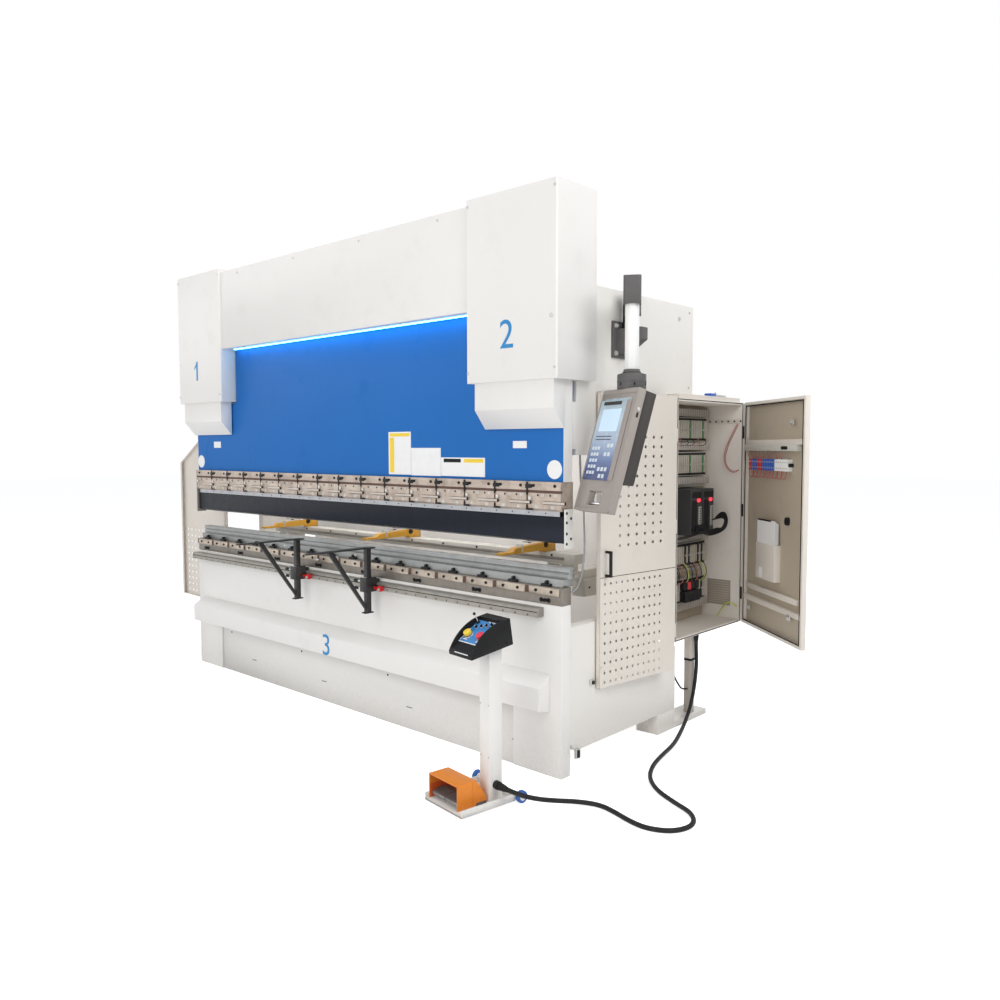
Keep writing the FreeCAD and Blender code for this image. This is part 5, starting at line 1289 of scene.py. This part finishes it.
    def outside(self):
        rim = Piece("cabinet_seal", "seal black", "zinc", "terminal blue")
        door_rim(rim, 0.8085, 1.5115, 0.5005, 1.7315, (1.6835, 1.6862), 0.004)
        for at in (0.90, 1.42):
            rim.add(drum((1.56, at, 1.7575), "z", 0.011, 0.006, 6, 0.0008), 1)
            rim.add(ring((1.56, at, 1.778), "x", 0.014, 0.0045, 24, 8), 1)
        rim.box((1.585, 1.255, 1.7570), (1.625, 1.315, 1.780), 2, 0.003)
        rim.add(drum((1.604, 1.300, 1.772), "y", 0.009, 0.150, 16, 0.002), 1)
        rim.done("frame")
        side = Piece("cabinet_side_vents", "seal black")
        for number in range(9):
            level = 0.62 + 0.018 * number
            side.box((1.47, 0.8044, level), (1.65, 0.8054, level + 0.006))
            side.box((1.47, 1.5146, level), (1.65, 1.5156, level + 0.006))
        side.done("frame")
        flange = Piece("cabinet_hinge_flange", "cabinet beige", "black plastic")
        flange.box((1.6840, 1.5132, 0.501), (1.7000, 1.5152, 1.731), 0, 0.0006)
        for level in (0.627, 1.097, 1.535):
            flange.box((1.6865, 1.5118, level), (1.6990, 1.5134, level + 0.070), 1, 0.0006)
        flange.done("frame")
        sleeve = Piece("foot_duct_sleeve", "cabinet beige", "seal black")
        sleeve.box((1.5412, 1.1492, 0.331), (1.5828, 1.1908, 0.498), 0, 0.0006)
        sleeve.box((1.5406, 1.1486, 0.318), (1.5834, 1.1914, 0.331), 1, 0.0006)
        sleeve.done("frame")


# The materials of the terminal blocks on the door's rail, from the hinge outwards
DOOR_BLOCKS = (4, 4, 3, 3, 3, 4, 4, 4, 3, 3, 3, 3, 3, 3, 3, 2, 2, 2, 2, 2, 2, 2)


class BRAKE_OT_door(bpy.types.Operator):
    """Fits the rail, terminals, document pocket, lock and seal inside the open cabinet door"""

    bl_idname = "brake.door"
    bl_label = "Cabinet Door"

    def execute(self, context):
        place = joint_place("cabinet_door_hinge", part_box("cabinet_door")[0].z)
        inner = 0.0093
        fit = Piece("door_fittings", "gauge grey", "black plastic", "paper white", "terminal blue",
                    "terminal red", "zinc", "cabinet beige")
        fit.box((-0.024, -0.640, 0.970), (inner + 0.0005, -0.040, 1.003), 0, 0.003)
        for at in (-0.490, -0.545):
            fit.add(drum((-0.0246, at, 0.9865), "x", 0.0085, 0.002, 20), 1)
        fit.box((-0.0246, -0.545, 0.978), (-0.0226, -0.490, 0.995), 1)
        fit.box((-0.005, -0.640, 0.206), (inner + 0.0005, -0.040, 0.236), 6, 0.003)
        for number, tone in enumerate(DOOR_BLOCKS):
            at = -0.090 - 0.0208 * number
            fit.box((-0.020, at - 0.018, 0.868), (inner + 0.0005, at, 0.928), tone, 0.0015, 1)
            for level in (0.913, 0.883):
                fit.add(drum((-0.0215, at - 0.009, level), "x", 0.0042, 0.002, 10), 5)
        fit.box((-0.016, -0.560, 0.890), (inner + 0.0005, -0.548, 0.908), 1, 0.002, 1)
        fit.box((-0.028, -0.436, 0.290), (inner + 0.0005, -0.215, 0.482), 6, 0.004)
        for number in range(4):
            out = -0.024 + 0.006 * number
            fit.box((out, -0.430, 0.400), (out + 0.003, -0.222, 0.608 - 0.005 * number), 2, 0.0006, 1)
        fit.box((-0.0245, -0.385, 0.601), (-0.0150, -0.226, 0.6085), 1)
        fit.box((-0.0286, -0.300, 0.298), (-0.0276, -0.258, 0.352), 2)
        for level in (0.608, 0.624):
            fit.add(drum((-0.010, -0.517, level), "x", 0.0125, 0.020, 24, 0.002), 1)
        fit.box((-0.010, -0.5295, 0.608), (0.009, -0.5045, 0.624), 1)
        for along, level in ((-0.572, 0.136), (-0.572, 1.112), (-0.098, 0.104)):
            fit.box((-0.016, along - 0.022, level - 0.014),
                    (-0.0115, along + 0.014, level + 0.014), 5, 0.002)
            fit.add(drum((-0.022, along, level), "x", 0.006, 0.012, 12, 0.001), 5)
        fit.done("door", place=place)
        seal = Piece("door_seal_and_painted_shade", "seal black", "cabinet inside")
        door_rim(seal, -0.690, -0.024, 0.018, 1.220, (-0.0135, -0.0115), 0.006)
        # painted shade: the door's inner face takes the darker inside copy of the cabinet's beige
        seal.box((inner - 0.0004, -0.690, 0.018), (inner + 0.0004, -0.026, 1.220), 1)
        seal.done("door", place=place)
        wires = Piece("door_wires", "wire red")
        for number in range(9):
            at = -0.10 - 0.048 * number
            below = [(-0.018, at, 0.868), (-0.026, at - 0.004, 0.846), (-0.022, at - 0.02, 0.825),
                     (-0.018, at - 0.05, 0.835), (-0.018, at - 0.055, 0.868)]
            wires.add(bent_rod(below, 0.0022, 6, 4))
            above = [(-0.018, at, 0.928), (-0.026, at + 0.006, 0.944), (-0.020, at + 0.022, 0.968)]
            wires.add(bent_rod(above, 0.0020, 6, 4))
        wires.done("door", place=place)
        return {"FINISHED"}


# How the panel hangs in its own joint, in degrees
PANEL_TURN = -21
PANEL_TILT = -16.5
# Film, side plate, label, screen and lines on its front: left, right, bottom, top, out, bevel, material
PANEL_AREAS = [
    (-0.121, 0.070, -0.405, -0.050, 0.0006, 0.0003, 4), (0.070, 0.104, -0.405, -0.050, 0.0006, 0.0003, 3),
    (-0.098, 0.036, -0.072, -0.056, 0.0012, 0.0004, 0), (-0.091, 0.045, -0.190, -0.090, 0.0016, 0.001, 1),
    (-0.096, 0.020, -0.214, -0.210, 0.0010, 0.0004, 0), (-0.096, 0.020, -0.228, -0.224, 0.0010, 0.0004, 0),
]
# Its larger keys: left, bottom
PANEL_KEYS = [
    (-0.026, -0.366), (0.000, -0.366), (0.026, -0.366), (-0.008, -0.396), (0.018, -0.396), (0.006, -0.262),
    (0.030, -0.262), (-0.004, -0.300), (0.022, -0.300),
]


class BRAKE_OT_pendant(bpy.types.Operator):
    """Fits bolts, collar rings, the screen, keys, lock and lip on the operator pendant"""

    bl_idname = "brake.pendant"
    bl_label = "Pendant"

    def execute(self, context):
        self.arm()
        self.panel()
        return {"FINISHED"}

    def arm(self):
        low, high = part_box("pendant_bracket")
        bolts = Piece("bracket_bolts", "zinc")
        for at_y in (low.y + 0.020, high.y - 0.020):
            for at_z in (low.z + 0.022, high.z - 0.022):
                bolts.add(drum((low.x + 0.012, at_y, at_z), "x", 0.012, 0.003, 20, 0.0006), 0)
                bolts.add(drum((low.x + 0.015, at_y, at_z), "x", 0.009, 0.008, 6, 0.001), 0)
        bolts.done("frame")
        hose = Piece("pendant_hose", "lead black")
        pivot = JOINTS["pendant_swing"]["pos_m"]
        bends = [(-0.056, 0.012, 2.030), (-0.058, 0.020, 2.09), (-0.062, 0.026, 2.15), (-0.056, 0.020, 2.18),
                 (-0.044, 0.008, 2.165), (-0.034, 0.0, 2.155)]
        route = [(pivot[0] + along, pivot[1] + across, level) for along, across, level in bends]
        hose.add(bent_rod(route, 0.009, 10, 6))
        hose.done("frame")
        elbows = Piece("elbow_screws", "black plastic", "casting grey")
        drop = JOINTS["panel_swivel"]["pos_m"]
        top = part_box("pendant_elbows")[1].z
        for at in (pivot, drop):
            elbows.add(drum((at[0], at[1], top - 0.0004), "z", 0.030, 0.0004, 28), 1)
            for turn in range(4):
                angle = math.radians(45 + 90 * turn - 60)
                elbows.add(screw((at[0] + 0.027 * math.cos(angle), at[1] + 0.027 * math.sin(angle),
                                  top - 0.0008), 0.0045, 0.002, "z", 1), 0)
        elbows.done("pendant_arm")
        collar = Piece("collar_rings", "casting grey", "black plastic")
        for level, radius, thick in ((1.7705, 0.0605, 0.0035), (1.7995, 0.0500, 0.0040),
                                     (1.8100, 0.0360, 0.0035)):
            collar.add(ring((drop[0], drop[1], level), "z", radius, thick, 40, 8))
        collar.add(drum((drop[0], drop[1], 1.7995), "z", 0.052, 0.006, 40, 0.001, 0.046))
        for turn in range(6):
            angle = math.radians(60 * turn + 15)
            collar.add(drum((drop[0] + 0.0615 * math.cos(angle), drop[1] + 0.0615 * math.sin(angle), 1.752),
                            "z", 0.0035, 0.012, 10), 1)
        collar.done("pendant_panel")

    def panel(self):
        drop = JOINTS["panel_swivel"]["pos_m"]
        turn = math.radians(PANEL_TURN)
        origin = (drop[0] + 0.052 * math.sin(turn), drop[1] - 0.052 * math.cos(turn), 1.7377)
        place = Matrix.Translation(origin) @ turned(z=PANEL_TURN) @ turned(x=PANEL_TILT)
        front = -0.003
        proud, sunk = front - 0.0016, front + 0.001
        panel = Piece("panel_display", "panel dark", "screen glow", "key pale", "panel taupe", "panel film")
        for left, right, bottom, top, out, bevel, tone in PANEL_AREAS:
            panel.box((left, front - out, bottom), (right, sunk, top), tone, bevel, 1)
        for row in range(5):
            for column in range(3):
                left = -0.104 + 0.0215 * column
                low = -0.272 - 0.0270 * row
                panel.box((left, proud, low), (left + 0.0165, sunk, low + 0.0150), 2, 0.0012, 1)
        for left, low in PANEL_KEYS:
            panel.box((left, proud, low), (left + 0.0190, sunk, low + 0.0180), 2, 0.0012, 1)
        for left, right in ((-0.134, -0.125), (0.125, 0.134)):
            panel.box((left, -0.0025, -0.540), (right, 0.002, -0.002), 3, 0.002)
        panel.box((-0.134, -0.0030, -0.022), (0.134, 0.004, -0.001), 3, 0.003)
        panel.box((-0.134, -0.0025, -0.540), (0.134, 0.002, -0.530), 3, 0.002)
        panel.done("pendant_panel", place=place)
        rear = Piece("panel_lock", "zinc", "black plastic", "panel dark", "seal black")
        rear.add(drum((0.1335, 0.018, -0.090), "x", 0.008, 0.004, 20, 0.0008), 0)
        rear.box((0.1335, 0.014, -0.125), (0.1365, 0.023, -0.105), 1, 0.001)
        for number in range(8):
            level = -0.30 + 0.011 * number
            rear.box((-0.07, 0.0975, level), (0.07, 0.0984, level + 0.005), 3)
        for left in (-0.105, 0.105):
            for level in (-0.025, -0.375):
                rear.add(screw((left, 0.098, level), 0.005, 0.003, "y", 1), 1)
        rear.box((-0.0475, 0.001, -0.4535), (-0.0440, 0.035, -0.4520), 2)
        rear.done("pendant_panel", place=place)


class BRAKE_OT_pedestal(bpy.types.Operator):
    """Fits the console's panel, toggles and levers, the pedals' ribs and the wheels' hubs"""

    bl_idname = "brake.pedestal"
    bl_label = "Pedestal"

    def execute(self, context):
        console = STAND @ Matrix.Translation((0, 0, CONSOLE_LEVEL)) @ turned(x=CONSOLE_TILT)
        slope = math.degrees(math.atan2(0.070, 0.154))
        deck = console @ Matrix.Translation((0, -0.140, 0.030)) @ turned(x=slope)
        top = Piece("console_controls", "label blue", "paper white", "black plastic", "zinc", "lamp red")
        top.box((-0.0675, 0.034, -0.0004), (0.0675, 0.163, 0.0012), 0, 0.0005, 1, place=deck)
        top.box((-0.0675, 0.0305, -0.0004), (0.0675, 0.0345, 0.0016), 1, 0.0005, 1, place=deck)
        top.box((-0.0675, 0.038, 0.0008), (-0.0635, 0.110, 0.0016), 1, 0.0003, 1, place=deck)
        top.box((-0.002, 0.1625, -0.0004), (0.064, 0.1655, 0.0016), 1, 0.0005, 1, place=deck)
        for at in (-0.042, 0.042):
            top.add(ring((at, 0.074, 0.0018), "z", 0.0196, 0.0020, 28, 8), 3, deck)
            top.box((at - 0.012, 0.046, 0.0008), (at + 0.012, 0.052, 0.0016), 1, 0.0004, 1, place=deck)
        for at, along in ((-0.034, 0.118), (-0.010, 0.128), (0.014, 0.138), (0.038, 0.148)):
            top.add(drum((at, along, 0.0010), "z", 0.0075, 0.005, 16, 0.0010), 3, deck)
            top.add(drum((at, along, 0.0055), "z", 0.0062, 0.012, 14, 0.0012, 0.0050), 2, deck)
            top.box((at - 0.0009, along - 0.006, 0.0172),
                    (at + 0.0009, along + 0.001, 0.0180), 1, place=deck)
        top.add(drum((-0.056, 0.148, 0.0010), "z", 0.0095, 0.008, 18, 0.0015, 0.0070), 2, deck)
        stick = [(-0.056, 0.148, 0.006), (-0.059, 0.152, 0.018), (-0.066, 0.156, 0.036)]
        top.add(bent_rod(stick, 0.0022, 8, 4), 3, deck)
        top.add(ball((-0.067, 0.157, 0.040), 0.0066, 16), 2, deck)
        top.add(drum((0.046, 0.112, 0.0010), "z", 0.0062, 0.005, 14, 0.001), 4, deck)
        top.box((-0.036, -0.1606, 0.0155), (0.052, -0.1594, 0.0195), 1, 0.0004, 1, place=console)
        top.box((-0.0766, -0.150, 0.002), (-0.0758, 0.050, 0.006), 3, place=console)
        for at_y, at_z in ((-0.11, 0.015), (0.03, 0.015), (0.03, 0.080)):
            top.add(screw((0.0758, at_y, at_z), 0.0045, 0.0025, "x", 1), 2, console)
            top.add(screw((-0.0758, at_y, at_z), 0.0045, 0.0025, "x", -1), 2, console)
        top.done("frame")
        low = Piece("hood_trim", "hood orange", "hood inside", "casting grey", "zinc")
        floor = STAND @ Matrix.Translation((0, 0, 0.012))
        # painted shade: the hood's inner ceiling and the inner side walls below take the darker copy of its
        # orange
        low.box((-0.1690, -0.1955, 0.1000), (0.0210, -0.098, 0.1012), 1, place=floor)
        for at in (-0.1695, 0.0205):
            low.box((at, -0.195, 0.001), (at + 0.0008, -0.055, 0.060), 1, place=floor)
        low.box((0.0255, -0.120, 0.002), (0.0275, -0.118, 0.104), place=floor)
        low.box((0.0255, -0.100, 0.0), (0.0285, -0.046, 0.012), 2, 0.001, place=floor)
        for at in (-0.16, -0.08, 0.01):
            low.add(screw((at, -0.075, 0.070), 0.005, 0.004, "z", 1), 3, floor)
        for start in (-0.172, 0.024):
            low.box((start - 0.0025, -0.1965, 0.001),
                    (start + 0.0025, -0.1925, 0.105), 0, 0.0015, place=floor)
        low.box((-0.1745, -0.1965, 0.1015), (0.0265, -0.1925, 0.1065), 0, 0.0015, place=floor)
        low.done("frame")
        for side, start, end in (("left", -0.163, -0.077), ("right", -0.071, 0.015)):
            ribs = Piece(f"pedal_ribs_{side}", "casting grey")
            for number in range(9):
                at, level = -0.180 + 0.0048 * number, 0.0290 + 0.00125 * number
                ribs.box((start + 0.006, at, level),
                         (end - 0.006, at + 0.0024, level + 0.002), 0, 0.0005, 1, place=floor)
            ribs.done(f"pedal_{side}")
        for side, start in (("left", -0.210), ("right", 0.088)):
            hub = Piece(f"wheel_hub_{side}", "wheel white", "black plastic", "wheel blue")
            for face in (start - 0.0004, start + 0.0184):
                hub.add(ring((face + 0.001, 0.086, 0.026), "x", 0.0170, 0.0016, 28, 6), 2, STAND)
                hub.add(drum((face, 0.086, 0.026), "x", 0.0155, 0.0020, 28, 0.0004), 0, STAND)
                hub.add(drum((face - 0.0008, 0.086, 0.026), "x", 0.0075, 0.0036, 18, 0.0006), 1, STAND)
            hub.done(f"wheel_{side}")
        tray = Piece("pedestal_trim", "rail steel", "zinc")
        tray.box((-0.180, -0.2145, 0.0055), (0.078, -0.2125, 0.0125), 0, 0.0008, place=STAND)
        for at in (-0.027, 0.027):
            for level in (0.20, 0.42):
                tray.add(screw((at, -0.033, level), 0.004, 0.002), 1, STAND)
        tray.done("frame")
        return {"FINISHED"}


class BRAKE_OT_covers(bpy.types.Operator):
    """Fits locks, screws and numerals on the cylinder and beam covers"""

    bl_idname = "brake.covers"
    bl_label = "Upper Covers"

    def execute(self, context):
        height = context.scene.brake_sizes.figure_height
        low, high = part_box("cylinder_covers")
        beam_low, beam_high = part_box("beam_cover")
        front = low.y
        seams = Piece("cover_seams", "zinc")
        for side in (-1, 1):
            outer, inner = side * (high.x - 0.012), side * 1.115
            for at_x in (outer, inner):
                for at_z in (1.830, 2.590):
                    seams.add(screw((at_x, front, at_z), 0.0065, 0.003))
            seams.add(drum((side * (high.x - 0.030), front - 0.002, 2.05), "y", 0.011, 0.004, 20, 0.001))
        for at in (-0.9, -0.3, 0.3, 0.9):
            seams.add(screw((at, beam_low.y, beam_high.z - 0.028), 0.0065, 0.003))
        seams.done("frame")
        figures = Piece("cover_figures", "figure blue")
        for text, at in (("1", -1.397), ("2", 1.355)):
            figures.add(figure(text, height, 0.001), place=Matrix.Translation((at, front - 0.0002, 1.985)))
        figures.add(slab([(-1.430, 2.016), (-1.398, 2.050), (-1.398, 2.034), (-1.430, 2.002)], "xz",
                         front - 0.0012, front - 0.0002))
        figures.done("frame")
        sides = Piece("head_side_fittings", "zinc")
        right = high_x("side_frame_right")
        for side in (-1, 1):
            face = side * right
            sides.add(screw((face, 0.958, 2.148), 0.011, 0.004, "x", side), 0)
            for at_y, at_z in ((0.20, 1.80), (1.06, 1.80), (0.20, 2.19), (1.06, 2.19)):
                sides.add(screw((face, at_y, at_z), 0.007, 0.003, "x", side), 0)
            for at_y, at_z in ((0.30, 0.60), (0.30, 1.62), (0.66, 0.60), (0.66, 1.62)):
                sides.add(screw((face, at_y, at_z), 0.009, 0.004, "x", side), 0)
        sides.done("frame")
        return {"FINISHED"}


class BRAKE_OT_rear(bpy.types.Operator):
    """Fits the panel seams, louvres and screws on the rear of the machine"""

    bl_idname = "brake.rear"
    bl_label = "Rear"

    def execute(self, context):
        back = 0.927
        rear = Piece("rear_sheet_fittings", "seal black", "zinc")
        for at in (-0.47, 0.47):
            rear.box((at - 0.0012, back - 0.0008, 0.43), (at + 0.0012, back + 0.0006, 1.74))
        for at in (-1.36, -0.52, -0.42, 0.42, 0.52, 1.36):
            for level in (0.46, 0.90, 1.34, 1.70):
                rear.add(screw((at, back, level), 0.007, 0.003, "y", 1), 1)
        for start in (-1.15, 0.0, 1.15):
            for number in range(12):
                level = 1.36 + 0.022 * number
                rear.box((start - 0.15, back - 0.001, level), (start + 0.15, back + 0.0008, level + 0.007))
        rear.done("frame")
        head = Piece("rear_head_fittings", "seal black", "zinc")
        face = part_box("rear_housing")[1].y
        for at in (-0.75, 0.0, 0.75):
            head.box((at - 0.0012, face - 0.0008, 1.80), (at + 0.0012, face + 0.0005, 2.21))
        for at in (-1.30, -0.80, -0.70, -0.05, 0.05, 0.70, 0.80, 1.30):
            for level in (1.82, 2.19):
                head.add(screw((at, face, level), 0.007, 0.003, "y", 1), 1)
        for start in (-1.05, 1.05):
            for number in range(10):
                level = 1.92 + 0.018 * number
                head.box((start - 0.14, face - 0.001, level), (start + 0.14, face + 0.0008, level + 0.007))
        head.done("frame")
        return {"FINISHED"}


OPERATORS = [
    BRAKE_OT_camera, BRAKE_OT_finishes, BRAKE_OT_leads, BRAKE_OT_stage, BRAKE_OT_ram, BRAKE_OT_clamps,
    BRAKE_OT_dies, BRAKE_OT_bed, BRAKE_OT_supports, BRAKE_OT_gauge, BRAKE_OT_guards, BRAKE_OT_cabinet,
    BRAKE_OT_door, BRAKE_OT_pendant, BRAKE_OT_pedestal, BRAKE_OT_covers, BRAKE_OT_rear,
]


class BRAKE_PT_dressing(bpy.types.Panel):
    """Lists the sizes, the colours and the operators"""

    bl_idname = "BRAKE_PT_dressing"
    bl_label = "Press Brake"
    bl_space_type = "VIEW_3D"
    bl_region_type = "UI"
    bl_category = "Press Brake"

    def draw(self, context):
        layout = self.layout
        for group in (context.scene.brake_sizes, context.scene.brake_colours):
            for label in group.__annotations__:
                layout.prop(group, label)
        for operator in OPERATORS:
            layout.operator(operator.bl_idname)


CLASSES = [BrakeSizes, BrakeColours, *OPERATORS, BRAKE_PT_dressing]


def register():
    for made in CLASSES:
        bpy.utils.register_class(made)
    bpy.types.Scene.brake_sizes = PointerProperty(type=BrakeSizes)
    bpy.types.Scene.brake_colours = PointerProperty(type=BrakeColours)


def unregister():
    del bpy.types.Scene.brake_colours
    del bpy.types.Scene.brake_sizes
    for made in reversed(CLASSES):
        bpy.utils.unregister_class(made)


def main():
    register()
    bpy.context.scene.view_settings.view_transform = "Standard"
    for operator in OPERATORS:
        group, name = operator.bl_idname.split(".")
        getattr(getattr(bpy.ops, group), name)()


if __name__ == "__main__":
    main()
